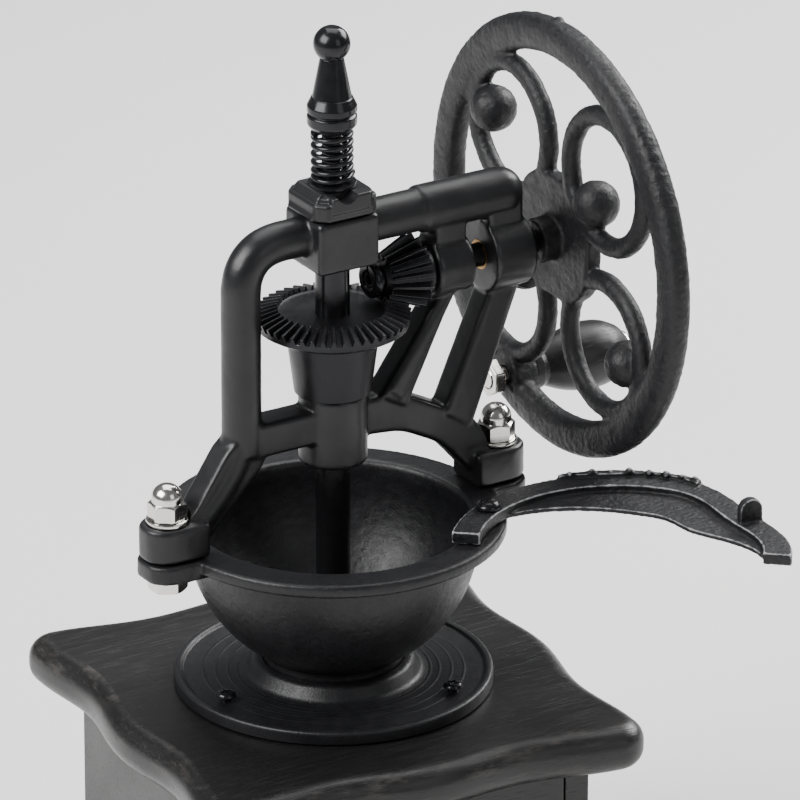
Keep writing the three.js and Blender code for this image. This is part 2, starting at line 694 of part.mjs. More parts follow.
function outerBurr() {
  const z = BURR_LOW;
  const ring = turned([
    [13, z], [THROAT_R - GAP, z], [THROAT_R - GAP, z + 8], [15.5, z + 12], [15, z + 12], [13, z + 3], [13, z],
  ]);
  return ring;
}

function burrNut() {
  const z = BURR_LOW - GAP - 4;
  return cut(rod(NUT_FLATS / Math.sqrt(3), z, z + 3.4, 6), hole(ROD_R + FIT, z - 1, z + 5));
}

class Helix extends THREE.Curve {
  getPoint(t, target = new THREE.Vector3()) {
    const a = t * SPRING_TURNS * 2 * Math.PI;
    const rise = SPRING_L - 2 * SPRING_WIRE;
    return target.set(SPRING_R * Math.cos(a), SPRING_R * Math.sin(a), rise * t);
  }
}

function adjuster() {
  const seat = CAP_TOP + GAP;
  const springLow = seat + 1.2 + GAP + SPRING_WIRE;
  const n = NUT_Z;
  const finial = cut(
    join(
      turned([
        [0, n], [6.9, n], [7.2, n + 0.8], [7.2, n + 2.8], [6.5, n + 3.6], [7.2, n + 4.4], [7.2, n + 7],
        [6.2, n + 8.4], [5.7, n + 9.2], [2.9, n + 21.8], [0, n + 21.8],
      ], 24),
      ball(5.3, 0, 0, n + 26, 14),
    ),
    hole(ROD_R + FIT, n - 1, n + 20.5),
  );
  const spring = bar(new Helix(), SPRING_WIRE, SPRING_TURNS * 10, 6).translate([0, 0, springLow]);
  return [
    mesh('spring_seat', sleeve(ROD_R + FIT, 7, seat, seat + 1.2, 28), blackSteel),
    mesh('adjuster_spring', spring, blackSteel),
    mesh('adjuster_finial', finial, blackSteel),
  ];
}

// ---- flywheel ------------------------------------------------------------
// Rings inside the rim, each with a ball that its inner edge carries.
const LOBES = [[45, 9], [135, -55], [225, 189], [315, 125]];

function ring(r, halfW, halfT, steps, sides) {
  const section = [];
  for (let i = 0; i <= sides; i += 1) {
    const a = ((i % sides) * 2 * Math.PI) / sides;
    section.push([r + halfW * Math.cos(a), halfT * Math.sin(a)]);
  }
  return turned(section, steps);
}

function flywheel() {
  const rim = ring(WHEEL_R - RIM_W / 2, RIM_W / 2, RIM_T / 2, 40, 8);
  const rings = [];
  for (const [at, lean] of LOBES) {
    const [cx, cy] = [LOBE_AT * Math.cos(at * DEG), LOBE_AT * Math.sin(at * DEG)];
    rings.push(ring(LOBE_R, LOBE_BAR, LOBE_BAR, 18, 6).translate([cx, cy, 0]));
    const [bx, by] = onCircle(BALL_OFFSET, lean * DEG);
    rings.push(ball(BALL_R, cx + bx, cy + by, 0));
  }
  const plateR = LOBE_AT - LOBE_R + LOBE_BAR;
  const hub = join(rod(plateR, -2.5, 2.5, 24), rod(HUB_R, -9, 5, 24));
  const crank = [CRANK_ORBIT * Math.cos(CRANK_AT), CRANK_ORBIT * Math.sin(CRANK_AT), 0];
  const lug = rod(7, -RIM_T / 2 + 0.5, RIM_T / 2 + 0.4, 20).translate(crank);
  const casting = cut(
    join(rim, ...rings, hub, lug),
    hole(SHAFT_R + FIT, -10, 10),
    hole(CRANK_PIN_R + FIT, -10, 10, 20).translate(crank),
  );
  return casting;
}

// Turns a piece drawn flat, with the wheel's axle up, so that the axle runs along X.
const ontoAxle = (piece) => piece.rotate([90, 0, 90]);

function flywheelGroup() {
  const crank = [CRANK_ORBIT * Math.cos(CRANK_AT), CRANK_ORBIT * Math.sin(CRANK_AT), 0];
  const face = RIM_T / 2 + 0.4;
  const knob = turned([
    [CRANK_PIN_R + FIT, face + 1.5], [6, face + 1.5], [6.4, face + 5], [CRANK_R - 1, face + 14],
    [CRANK_R, face + 22], [CRANK_R - 1.5, face + 29], [6.5, face + CRANK_L - 1], [5, face + CRANK_L],
    [CRANK_PIN_R + FIT, face + CRANK_L], [CRANK_PIN_R + FIT, face + 1.5],
  ], 24);
  const pin = turned([
    [0, -face - 3.6], [CRANK_PIN_R, -face - 3.6],
    [CRANK_PIN_R, face + CRANK_L + GAP], [5, face + CRANK_L + GAP],
    [4.4, face + CRANK_L + 1.8], [2.4, face + CRANK_L + 2.6], [0, face + CRANK_L + 2.8],
  ], 24);
  const nutAt = -face - 0.2;
  const pinNut = cut(
    rod(NUT_FLATS / Math.sqrt(3), nutAt - 3.2, nutAt, 6),
    hole(CRANK_PIN_R + FIT, nutAt - 4, nutAt + 1, 24),
  );
  const group = place(
    new THREE.Group(),
    mesh('flywheel', ontoAxle(flywheel()), castIron),
    mesh('crank_knob', ontoAxle(knob.translate(crank)), blackWood),
    mesh('crank_pin', ontoAxle(pin.translate(crank)), nickel),
    mesh('crank_pin_nut', ontoAxle(pinNut.translate(crank)), nickel),
  );
  group.position.set(WHEEL_X, 0, SHAFT_Z);
  return group;
}

function driveShaft() {
  const head = PINION_IN - 5.3;
  const end = WHEEL_X + 14;
  return alongX(turned([
    [0, head], [5.4, head], [5.4, head + 2.2], [SHAFT_R, head + 2.8],
    [SHAFT_R, end - 0.8], [SHAFT_R - 0.8, end], [0, end],
  ])).translate([0, 0, SHAFT_Z]);
}

const shaftRing = (from, to, r, sides) => cut(
  alongX(rod(r, from, to, sides)),
  alongX(hole(SHAFT_R + FIT, from - 1, to + 1)),
).translate([0, 0, SHAFT_Z]);

// ---- assembly ------------------------------------------------------------
const grinder = new THREE.Group();
grinder.name = 'hand_crank_coffee_grinder';
grinder.add(
  woodenBox(),
  mesh('base_disc', baseDisc(), castIron),
  ...discScrews(),
  mesh('hopper_bowl', hopper(), castIron),
  mesh('outer_burr', outerBurr(), gearSteel),
  mesh('inner_burr', innerBurr(), gearSteel),
  mesh('burr_nut', burrNut(), steel),
  mesh('bridge', bridge(), satinIron),
  mesh('saddle_cap', saddleCap(), satinIron),
  ...clampBolts(),
  ...clampNuts(),
  ...clampWashers(),
  beanGuard(),
  mesh('guard_screw', guardScrew(), steel),
  mesh('spindle', spindle(), blackSteel),
  mesh('spindle_bush_lower', spindleBush(LOW_BOSS[0], LOW_BOSS[1]), bronze),
  mesh('spindle_bush_upper', spindleBush(SADDLE_LOW, SADDLE_TOP), bronze),
  mesh('bevel_gear', bevelGear(), gearSteel),
  ...adjuster(),
  mesh('drive_shaft', driveShaft(), blackSteel),
  mesh('bevel_pinion', pinion(), gearSteel),
  mesh('shaft_bush_inner', shaftBush(BOSS_A), bronze),
  mesh('shaft_bush_outer', shaftBush(BOSS_B), bronze),
  mesh('shaft_washer', shaftRing(BOSS_B[1] + GAP, BOSS_B[1] + 1.5, 7.5, 28), steel),
  mesh('wheel_nut', shaftRing(WHEEL_X + 5 + GAP, WHEEL_X + 10.5, 7.5, 6), nickel),
  flywheelGroup(),
);

export default grinder;
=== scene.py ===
"""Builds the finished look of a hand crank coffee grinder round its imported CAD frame.

Sizes in this file are millimetres unless a name says otherwise; meshes are brought to metres
when a piece is handed in. The frame's own boxes give the levels that the pieces stand on.
"""

import json
import math

import bmesh
import bpy
import numpy as np
from mathutils import Matrix, Vector, noise

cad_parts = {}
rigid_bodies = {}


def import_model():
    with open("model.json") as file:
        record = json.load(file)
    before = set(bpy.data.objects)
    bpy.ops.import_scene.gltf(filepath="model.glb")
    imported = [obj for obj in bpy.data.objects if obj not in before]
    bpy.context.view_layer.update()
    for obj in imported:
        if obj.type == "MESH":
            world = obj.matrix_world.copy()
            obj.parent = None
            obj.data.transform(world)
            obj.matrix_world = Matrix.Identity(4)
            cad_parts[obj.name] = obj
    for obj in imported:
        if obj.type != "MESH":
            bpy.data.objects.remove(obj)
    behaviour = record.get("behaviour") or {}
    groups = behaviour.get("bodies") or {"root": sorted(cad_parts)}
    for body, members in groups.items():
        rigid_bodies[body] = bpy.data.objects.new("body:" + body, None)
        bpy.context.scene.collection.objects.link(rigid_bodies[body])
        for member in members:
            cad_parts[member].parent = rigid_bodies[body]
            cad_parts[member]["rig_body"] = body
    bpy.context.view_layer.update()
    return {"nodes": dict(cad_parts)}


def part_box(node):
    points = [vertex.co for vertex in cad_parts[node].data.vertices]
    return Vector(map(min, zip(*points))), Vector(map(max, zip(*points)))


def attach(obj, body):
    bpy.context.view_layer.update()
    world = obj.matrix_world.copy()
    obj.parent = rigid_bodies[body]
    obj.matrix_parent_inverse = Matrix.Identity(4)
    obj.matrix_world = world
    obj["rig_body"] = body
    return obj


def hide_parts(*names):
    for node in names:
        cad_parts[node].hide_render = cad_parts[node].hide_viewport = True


bl_info = {
    "name": "Hand crank coffee grinder",
    "version": (1, 0, 0),
    "blender": (4, 5, 0),
    "location": "3D View > Sidebar > Grinder",
    "description": "Models and paints the pieces of a hand crank coffee grinder",
    "category": "Add Mesh",
}

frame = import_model()

MM = 0.001
TAU = 2 * math.pi


def span(node, axis):
    """Lowest and highest coordinate of a CAD node along an axis, in millimetres."""
    low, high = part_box(node)
    return low[axis] / MM, high[axis] / MM


X, Y, Z = 0, 1, 2
GAP = 0.3

# Levels and places read from the frame.
FOOT_LOW, FOOT_TOP = span("foot_board", Z)
BOARD_LOW, BOARD_TOP = span("top_board", Z)
WALL_LOW, WALL_TOP = span("box_back", Z)
DISC_LOW, DISC_TOP = span("base_disc", Z)
DISC_R = span("base_disc", X)[1]
BOWL_LOW, FLANGE_TOP = span("hopper_bowl", Z)
FLANGE_R = span("hopper_bowl", Y)[1]
EAR_TIP = span("hopper_bowl", X)[1]
EAR_X = sum(span("clamp_bolt_right", X)) / 2
SHAFT_FROM, SHAFT_TO = span("drive_shaft", X)
SHAFT_Z = sum(span("drive_shaft", Z)) / 2
FOOT_UNDER, SADDLE_TOP = span("bridge", Z)
CAP_LOW, CAP_TOP = span("saddle_cap", Z)
CAP_HALF = span("saddle_cap", X)[1]
SPRING_LOW, SPRING_TOP = span("adjuster_spring", Z)
FINIAL_LOW = span("adjuster_finial", Z)[0]
WHEEL_R = span("flywheel", Y)[1]
WHEEL_X = span("flywheel", X)[1] - 5
GUARD_LOW = span("bean_guard", Z)[0]
KNOB_FROM, KNOB_TO = span("crank_knob", X)
CRANK_Y = sum(span("crank_knob", Y)) / 2
CRANK_Z = sum(span("crank_knob", Z)) / 2
DRAWER_LOW, DRAWER_HIGH = span("drawer_front", Z)


ROD_BORE = 3.05
SHAFT_BORE = 3.55
SHAFT_BUSH_BORE = 4.55
SPINDLE_BUSH_BORE = 6.05


# ---- properties ----------------------------------------------------------


def length(name, description, default):
    """A size in metres whose default is given in millimetres."""
    return bpy.props.FloatProperty(
        name=name, description=description, default=default * MM, min=0, unit="LENGTH", precision=5
    )


def colour(name, description, default):
    return bpy.props.FloatVectorProperty(
        name=name, description=description, default=default, min=0, max=1, size=3, subtype="COLOR"
    )


def angle(name, description, default):
    return bpy.props.FloatProperty(
        name=name, description=description, default=math.radians(default), subtype="ANGLE", unit="ROTATION"
    )


class GRINDER_PG_sizes(bpy.types.PropertyGroup):
    board_half: length("Board half width", "Half the width of the wavy boards", 69.5)
    board_wave: length("Board wave", "Depth of the hollows in a board's sides", 3.5)
    board_corner: length("Board corner", "Radius of a board's corners", 9)
    board_round: length("Board edge", "Radius of a board's rounded edge", 6)
    box_half: length("Box half width", "Half the width of the box's walls", 55.5)
    wall: length("Wall", "Thickness of the box's walls", 8)
    drawer_width: length("Drawer width", "Width of the drawer's opening", 84)
    box_turn: angle("Box turn", "How far the box is turned from the flywheel's shaft", -6)
    bowl_radius: length("Bowl radius", "Outside radius of the hopper's round body", 42.5)
    bowl_wall: length("Bowl wall", "Thickness of the hopper's wall", 3)
    neck_radius: length("Neck radius", "Outside radius of the hopper's neck", 20.5)
    leg_radius: length("Leg radius", "Radius of the bridge's round leg", 5.8)
    bar_radius: length("Bar radius", "Radius of the bridge's top bar", 6.3)
    rim_width: length("Rim width", "Width of the flywheel's rim across the wheel", 11)
    rim_depth: length("Rim depth", "Thickness of the flywheel's rim along the shaft", 8)
    ring_radius: length("Ring radius", "Radius of the four rings in the flywheel", 19.5)
    ring_bar: length("Ring bar", "Half thickness of a ring's bar", 3.1)
    ball_radius: length("Ball radius", "Radius of the balls in the rings", 7)
    wire: length("Spring wire", "Radius of the adjuster spring's wire", 0.8)
    casting_grid: length("Casting grid", "Mesh size of the cast pieces", 0.62)
    guard_grid: length("Guard grid", "Mesh size of the bean guard", 0.34)


class GRINDER_PG_colours(bpy.types.PropertyGroup):
    paint: colour("Black paint", "Colour of the painted castings", (0.007, 0.007, 0.008))
    steel_black: colour("Blackened steel", "Colour of the spindle, spring and finial", (0.02, 0.02, 0.022))
    worn: colour("Worn edge", "Colour of paint that is worn along an edge", (0.07, 0.07, 0.074))
    # The pale edge colour below is a painted highlight along the gear teeth's edges, standing in for their reflection;
    # the bean guard takes the same colour for its worn edges.
    edge_highlight_and_wear: colour("Gear edge", "Colour of the gear teeth's worn edges", (0.32, 0.32, 0.33))
    nickel: colour("Nickel", "Colour of the plated dome nuts", (0.72, 0.70, 0.66))
    steel: colour("Steel", "Colour of the bare steel", (0.42, 0.42, 0.43))
    bronze: colour("Bronze", "Colour of the bushes", (0.42, 0.26, 0.11))
    wood_black: colour("Black wood", "Colour of the stained box", (0.006, 0.0057, 0.0056))
    wood_worn: colour("Worn wood", "Colour of the box's rubbed edges", (0.075, 0.066, 0.06))
    wood_plain: colour("Plain wood", "Colour of the drawer's tray", (0.42, 0.26, 0.13))
    floor: colour("Floor", "Colour of the floor", (0.78, 0.775, 0.77))


class GRINDER_PG_view(bpy.types.PropertyGroup):
    azimuth: angle("Azimuth", "Camera's direction round the grinder", -31.6)
    elevation: angle("Elevation", "Camera's height over the horizon", 23.4)
    distance: length("Distance", "From the camera to the point it looks at", 2806)
    aim_height: length("Aim height", "Height of the point that the camera looks at", 178.8)
    aim_side: length("Aim side", "How far that point is to the right of the spindle", 19.3)
    lens: bpy.props.FloatProperty(
        name="Lens", description="Focal length of the camera in millimetres", default=439.5, min=1
    )


# ---- shapes --------------------------------------------------------------


def tidy(bm):
    """Merges doubles and turns all faces outwards."""
    bmesh.ops.remove_doubles(bm, verts=bm.verts, dist=1e-4)
    bmesh.ops.recalc_face_normals(bm, faces=bm.faces)
    return bm


def moved(bm, x=0, y=0, z=0):
    bmesh.ops.translate(bm, verts=bm.verts, vec=(x, y, z))
    return bm


def rotated(bm, turn, axis, centre=(0, 0, 0)):
    bmesh.ops.rotate(bm, verts=bm.verts, cent=centre, matrix=Matrix.Rotation(turn, 3, axis))
    return bm


def along_x(bm):
    """Lays a piece drawn round Z along +X, through the flywheel's shaft line."""
    return moved(rotated(bm, math.pi / 2, "Y"), z=SHAFT_Z)


def joined(*parts):
    """One bmesh that holds all the parts, which are freed."""
    whole = bmesh.new()
    for part in parts:
        mesh = bpy.data.meshes.new("part")
        part.to_mesh(mesh)
        part.free()
        whole.from_mesh(mesh)
        bpy.data.meshes.remove(mesh)
    return whole


def arc(radius, centre, start, end, steps):
    """Points of a circle from one angle to another, in degrees."""
    points = []
    for i in range(steps + 1):
        a = math.radians(start + (end - start) * i / steps)
        points.append((centre[0] + radius * math.cos(a), centre[1] + radius * math.sin(a)))
    return points


def filleted(points, radius, steps=4):
    """A closed outline with its corners rounded; a third number in a point is its own radius."""
    result = []
    count = len(points)
    for i, point in enumerate(points):
        here = Vector(point[:2])
        before = Vector(points[i - 1][:2]) - here
        after = Vector(points[(i + 1) % count][:2]) - here
        reach = point[2] if len(point) > 2 else radius
        reach = min(reach, before.length * 0.48, after.length * 0.48)
        if reach <= 0:
            result.append(tuple(here))
            continue
        start = here + before.normalized() * reach
        end = here + after.normalized() * reach
        for k in range(steps + 1):
            t = k / steps
            curve = start * (1 - t) ** 2 + here * (2 * t * (1 - t)) + end * t**2
            result.append(tuple(curve))
    return result


def turned(profile, steps=96):
    """A solid turned about Z from (radius, height) points."""
    bm = bmesh.new()
    verts = [bm.verts.new((max(p[0], 0), 0, p[1])) for p in profile]
    edges = [bm.edges.new(pair) for pair in zip(verts, verts[1:])]
    if profile[0][0] > 0 or profile[-1][0] > 0:
        edges.append(bm.edges.new((verts[-1], verts[0])))
    bmesh.ops.spin(
        bm, geom=verts + edges, cent=(0, 0, 0), axis=(0, 0, 1), angle=TAU, steps=steps, use_merge=True
    )
    return tidy(bm)


def sleeve(inner, outer, low, high, edge=0.25, steps=64):
    """A turned ring with softened edges."""
    outline = [(inner, low), (outer, low), (outer, high), (inner, high)]
    return turned(filleted(outline, edge, 2), steps)


def soften(bm, offset, segments=3, least=30):
    """Bevels every edge whose faces meet at more than the given angle."""
    limit = math.radians(least)
    edges = [e for e in bm.edges if e.is_manifold and e.calc_face_angle(0) > limit]
    bmesh.ops.bevel(
        bm, geom=edges, offset=offset, offset_type="OFFSET", segments=segments, profile=0.5,
        affect="EDGES", material=-1, clamp_overlap=True,
    )
    return bm


def slab(outline, low, high, edge=0, segments=3):
    """An (x, y) outline raised from one height to another."""
    bm = bmesh.new()
    face = bm.faces.new([bm.verts.new((p[0], p[1], low)) for p in outline])
    raised = bmesh.ops.extrude_face_region(bm, geom=[face])["geom"]
    verts = [g for g in raised if isinstance(g, bmesh.types.BMVert)]
    bmesh.ops.translate(bm, verts=verts, vec=(0, 0, high - low))
    tidy(bm)
    return soften(bm, edge, segments, 40) if edge else bm


def upright(outline, thickness, edge=0):
    """An (x, z) outline that stands in the XZ plane, half to each side of it."""
    return rotated(slab(outline, -thickness / 2, thickness / 2, edge), math.pi / 2, "X")


def brick(x, y, z, edge=0.7):
    """A block between two coordinates on each axis, with softened edges."""
    bm = bmesh.new()
    size = Matrix.Diagonal((x[1] - x[0], y[1] - y[0], z[1] - z[0], 1))
    middle = Matrix.Translation(((x[0] + x[1]) / 2, (y[0] + y[1]) / 2, (z[0] + z[1]) / 2))
    bmesh.ops.create_cube(bm, size=1, matrix=middle @ size)
    return soften(bm, edge) if edge else bm


def ball(radius, x, y, z, steps=32):
    bm = bmesh.new()
    bmesh.ops.create_uvsphere(
        bm, u_segments=steps, v_segments=steps // 2, radius=radius, matrix=Matrix.Translation((x, y, z))
    )
    return bm


def rod(radius, low, high, steps=48):
    return turned([(0, low), (radius, low), (radius, high), (0, high)], steps)


def swept(points, radius, sides=24):
    """A round bar along a list of points."""
    curve = bpy.data.curves.new("sweep", "CURVE")
    curve.dimensions = "3D"
    curve.bevel_depth = radius
    curve.bevel_resolution = sides // 4
    curve.use_fill_caps = True
    spline = curve.splines.new("POLY")
    spline.points.add(len(points) - 1)
    for target, point in zip(spline.points, points):
        target.co = (*point, 1)
    holder = bpy.data.objects.new("sweep", curve)
    bpy.context.scene.collection.objects.link(holder)
    mesh = bpy.data.meshes.new_from_object(holder)
    bm = bmesh.new()
    bm.from_mesh(mesh)
    bpy.data.objects.remove(holder)
    bpy.data.curves.remove(curve)
    bpy.data.meshes.remove(mesh)
    return tidy(bm)


def threaded(radius, low, high, pitch=0.8, depth=0.35):
    """The side of a threaded rod as (radius, height) points: one ridge for each pitch."""
    points = [(radius - depth, low)]
    count = int((high - low) / pitch)
    for i in range(count):
        foot = low + i * pitch
        points.append((radius - depth, foot + pitch * 0.15))
        points.append((radius, foot + pitch * 0.5))
        points.append((radius - depth, foot + pitch * 0.85))
    points.append((radius - depth, high))
    return points


def cad_copy(node):
    """A merged copy of a CAD node's mesh in millimetres, with flat faces whole again."""
    bm = bmesh.new()
    bm.from_mesh(frame["nodes"][node].data)
    bmesh.ops.scale(bm, vec=(1 / MM, 1 / MM, 1 / MM), verts=bm.verts)
    bmesh.ops.remove_doubles(bm, verts=bm.verts, dist=0.002)
    bmesh.ops.dissolve_limit(
        bm, angle_limit=math.radians(0.4), verts=bm.verts, edges=bm.edges, use_dissolve_boundaries=False
    )
    return bm


# ---- meshes and objects --------------------------------------------------


def object_of(bm, name):
    mesh = bpy.data.meshes.new(name)
    bm.to_mesh(mesh)
    bm.free()
    holder = bpy.data.objects.new(name, mesh)
    bpy.context.scene.collection.objects.link(holder)
    return holder


def settled(holder):
    """The object's mesh with its modifiers applied; the object goes."""
    graph = bpy.context.evaluated_depsgraph_get()
    mesh = bpy.data.meshes.new_from_object(holder.evaluated_get(graph))
    bpy.data.objects.remove(holder)
    return mesh


def cast(name, parts, grid, passes, cutters=()):
    """Fuses overlapping parts into one casting with soft blends, then bores it."""
    holder = object_of(joined(*parts), name)
    remesh = holder.modifiers.new("Fuse", "REMESH")
    remesh.mode = "VOXEL"
    remesh.voxel_size = grid
    smooth = holder.modifiers.new("Blend", "SMOOTH")
    smooth.factor = 0.5
    smooth.iterations = passes
    mesh = settled(holder)
    mark_edges(mesh, grid)
    if cutters:
        mesh = carved(mesh, joined(*cutters), "DIFFERENCE")
    return mesh


def carved(mesh, tool_bm, operation):
    """The mesh after a boolean operation with a tool."""
    holder = bpy.data.objects.new("carved", mesh)
    bpy.context.scene.collection.objects.link(holder)
    tool = object_of(tool_bm, "tool")
    step = holder.modifiers.new("Carve", "BOOLEAN")
    step.object = tool
    step.operation = operation
    step.solver = "EXACT"
    bpy.context.view_layer.update()
    result = settled(holder)
    bpy.data.objects.remove(tool)
    return result


def as_mesh(bm, name="piece"):
    mesh = bpy.data.meshes.new(name)
    bm.to_mesh(mesh)
    bm.free()
    return mesh


def mark_edges(mesh, grid):
    """Stores how sharply the surface bends outwards at each point, 0 to 1, as 'edge'."""
    count = len(mesh.vertices)
    place = np.empty(count * 3)
    mesh.vertices.foreach_get("co", place)
    place = place.reshape(-1, 3)
    normal = np.empty(count * 3)
    mesh.vertex_normals.foreach_get("vector", normal)
    normal = normal.reshape(-1, 3)
    pairs = np.empty(len(mesh.edges) * 2, int)
    mesh.edges.foreach_get("vertices", pairs)
    a, b = pairs.reshape(-1, 2).T
    valence = np.maximum(np.bincount(a, minlength=count) + np.bincount(b, minlength=count), 1)

    def around(values):
        total = np.zeros_like(values)
        np.add.at(total, a, values[b])
        np.add.at(total, b, values[a])
        return total / (valence[:, None] if values.ndim > 1 else valence)

    bend = ((place - around(place)) * normal).sum(1) / grid**2
    bend = np.clip(bend * 2.0, 0, 1)
    for _ in range(2):
        bend = 0.5 * bend + 0.5 * around(bend)
    layer = mesh.attributes.new("edge", "FLOAT", "POINT")
    layer.data.foreach_set("value", bend.astype(np.float32))


def roughened(mesh, amount, size, seed=0):
    """Lifts and sinks the points of a casting by a little noise, as sand leaves it."""
    shift = Vector((seed, seed * 0.7, -seed))
    normals = [n.vector.copy() for n in mesh.vertex_normals]
    for vert, normal in zip(mesh.vertices, normals):
        vert.co += normal * (amount * noise.noise(vert.co / size + shift))
    return mesh


def hand_in(mesh, name, nodes, material, sharp=35, crisp=True):
    """Makes a finished piece: in metres, shaded, painted and riding on its nodes' body."""
    mesh.name = name
    mesh.transform(Matrix.Scale(MM, 4))
    mesh.materials.clear()
    mesh.materials.append(material)
    mesh.shade_smooth()
    mesh.set_sharp_from_angle(angle=math.radians(sharp))
    piece = bpy.data.objects.new(name, mesh)
    bpy.context.scene.collection.objects.link(piece)
    if crisp:
        normals = piece.modifiers.new("Normals", "WEIGHTED_NORMAL")
        normals.keep_sharp = True
    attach(piece, frame["nodes"][nodes[0]]["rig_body"])
    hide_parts(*nodes)
    return piece


# ---- materials -----------------------------------------------------------


class Sum:
    """A number from a shader socket; sums with it are built as Math nodes."""

    def __init__(self, paint, socket):
        self.paint = paint
        self.socket = socket

    def _with(self, operation, first, second):
        values = {0: first, 1: second}
        return Sum(self.paint, self.paint.node("ShaderNodeMath", {"operation": operation}, values).outputs[0])

    def __add__(self, other):
        return self._with("ADD", self, other)

    def __radd__(self, other):
        return self._with("ADD", other, self)

    def __sub__(self, other):
        return self._with("SUBTRACT", self, other)

    def __rsub__(self, other):
        return self._with("SUBTRACT", other, self)

    def __mul__(self, other):
        return self._with("MULTIPLY", self, other)

    def __rmul__(self, other):
        return self._with("MULTIPLY", other, self)

    def __pow__(self, other):
        return self._with("POWER", self, other)


class Paint:
    """A procedural material that is put together node by node."""

    def __init__(self, name, **constants):
        self.material = bpy.data.materials.new(name)
        self.material.use_nodes = True
        self.tree = self.material.node_tree
        self.shader = self.tree.nodes["Principled BSDF"]
        for socket, value in constants.items():
            self.shader.inputs[socket.replace("_", " ")].default_value = value
        self.place = self.node("ShaderNodeTexCoord").outputs["Object"]

    def node(self, kind, settings=None, values=None):
        """A node of this kind: its settings first, then the values or links of its sockets."""
        made = self.tree.nodes.new(kind)
        for key, value in (settings or {}).items():
            if key == "stops":
                for i, (position, shade) in enumerate(value):
                    stop = made.color_ramp.elements[i] if i < 2 else made.color_ramp.elements.new(position)
                    stop.position = position
                    stop.color = shade
            else:
                setattr(made, key, value)
        for key, value in (values or {}).items():
            if isinstance(value, Sum):
                value = value.socket
            if isinstance(value, bpy.types.NodeSocket):
                self.tree.links.new(value, made.inputs[key])
            else:
                made.inputs[key].default_value = value
        return made

    def turned_place(self, turn, stretch):
        """Object coordinates turned about Z and stretched, for grain that runs one way."""
        values = {"Vector": self.place, "Rotation": (0, 0, turn), "Scale": stretch}
        return self.node("ShaderNodeMapping", values=values).outputs[0]

    def noise(self, size, detail=3, rough=0.55, place=None, twist=0):
        """Noise whose blotches are about this size in metres."""
        values = {
            "Vector": place or self.place, "Scale": 1 / size, "Detail": detail, "Roughness": rough,
            "Distortion": twist,
        }
        return Sum(self, self.node("ShaderNodeTexNoise", values=values).outputs[0])

    def pits(self, size, place=None):
        """Distance to scattered points about this far apart in metres, in cells."""
        values = {"Vector": place or self.place, "Scale": 1 / size}
        return Sum(self, self.node("ShaderNodeTexVoronoi", values=values).outputs["Distance"])

    def ramp(self, value, low, high, start=0.0, end=1.0):
        """Rises from start to end as the value goes from low to high."""
        values = {"Value": value, "From Min": low, "From Max": high, "To Min": start, "To Max": end}
        made = self.node("ShaderNodeMapRange", {"clamp": True, "interpolation_type": "SMOOTHSTEP"}, values)
        return Sum(self, made.outputs[0])

    def edge(self):
        """How sharply the surface bends outwards, from the piece's own attribute."""
        return Sum(self, self.node("ShaderNodeAttribute", {"attribute_name": "edge"}).outputs["Fac"])

    def mixed(self, factor, first, second):
        """A colour between two colours."""
        settings = {"data_type": "RGBA"}
        values = {0: factor, 6: first, 7: second}
        return self.node("ShaderNodeMix", settings, values).outputs[2]

    def relief(self, height, depth, strength=1.0, below=None):
        """A bump of this depth in metres."""
        values = {"Height": height, "Distance": depth, "Strength": strength}
        if below:
            values["Normal"] = below
        return self.node("ShaderNodeBump", values=values).outputs[0]

    def feed(self, **links):
        """Links values to the shader's sockets."""
        for socket, value in links.items():
            if isinstance(value, Sum):
                value = value.socket
            self.tree.links.new(value, self.shader.inputs[socket.replace("_", " ")])
        return self.material


def shade_of(colour_in, factor):
    """A colour made darker or paler, with its alpha."""
    return (*[min(c * factor, 1) for c in colour_in], 1)


def solid_colour(value):
    return (*value, 1)


def cast_paint(name, dark, worn, grain, depth, rough=(0.36, 0.58), wear=(0.62, 1.0), coat=0.04):
    """Black paint on sand-cast iron: grain, pits, and paint rubbed thin along the edges."""
    paint = Paint(name, Metallic=0.0, Coat_Weight=coat, Coat_Roughness=0.35, Specular_IOR_Level=0.34)
    fine = paint.noise(grain, 4, 0.65)
    lumps = paint.noise(grain * 6, 3)
    pits = paint.ramp(paint.pits(grain * 5), 0.05, 0.22)
    scuff = paint.noise(grain * 3.5, 5, 0.7)
    mask = paint.ramp(paint.edge() * 0.8 + scuff * 0.55, wear[0], wear[1])
    shade = paint.mixed(lumps, shade_of(dark, 0.7), shade_of(dark, 1.5))
    colour_out = paint.mixed(mask, shade, solid_colour(worn))
    roughness = paint.ramp(fine * 0.5 + lumps * 0.5, 0.3, 0.7, rough[0], rough[1]) - mask * 0.08
    height = fine * 0.5 + lumps * 0.35 + pits * 0.25
    normal = paint.relief(height, depth)
    return paint.feed(Base_Color=colour_out, Roughness=roughness, Normal=normal)


def satin_paint(name, dark, worn):
    """Smooth satin black paint with a faint orange peel and edges rubbed slightly paler."""
    paint = Paint(name, Coat_Weight=0.04, Coat_Roughness=0.3, Specular_IOR_Level=0.42)
    peel = paint.noise(0.0016, 2)
    sweep = paint.noise(0.018, 3)
    dust = paint.ramp(paint.pits(0.0022), 0.02, 0.10, 1.0, 0.0)
    mask = paint.ramp(paint.edge() * 0.75 + paint.noise(0.0035, 5, 0.7) * 0.5, 0.62, 1.0) * 0.7
    shade = paint.mixed(sweep, shade_of(dark, 0.75), shade_of(dark, 1.35))
    roughness = paint.ramp(sweep, 0.3, 0.7, 0.33, 0.46) + dust * 0.1
    normal = paint.relief(peel * 0.8 + dust * 0.2, 0.00006)
    colour_out = paint.mixed(mask, shade, solid_colour(worn))
    return paint.feed(Base_Color=colour_out, Roughness=roughness, Normal=normal)


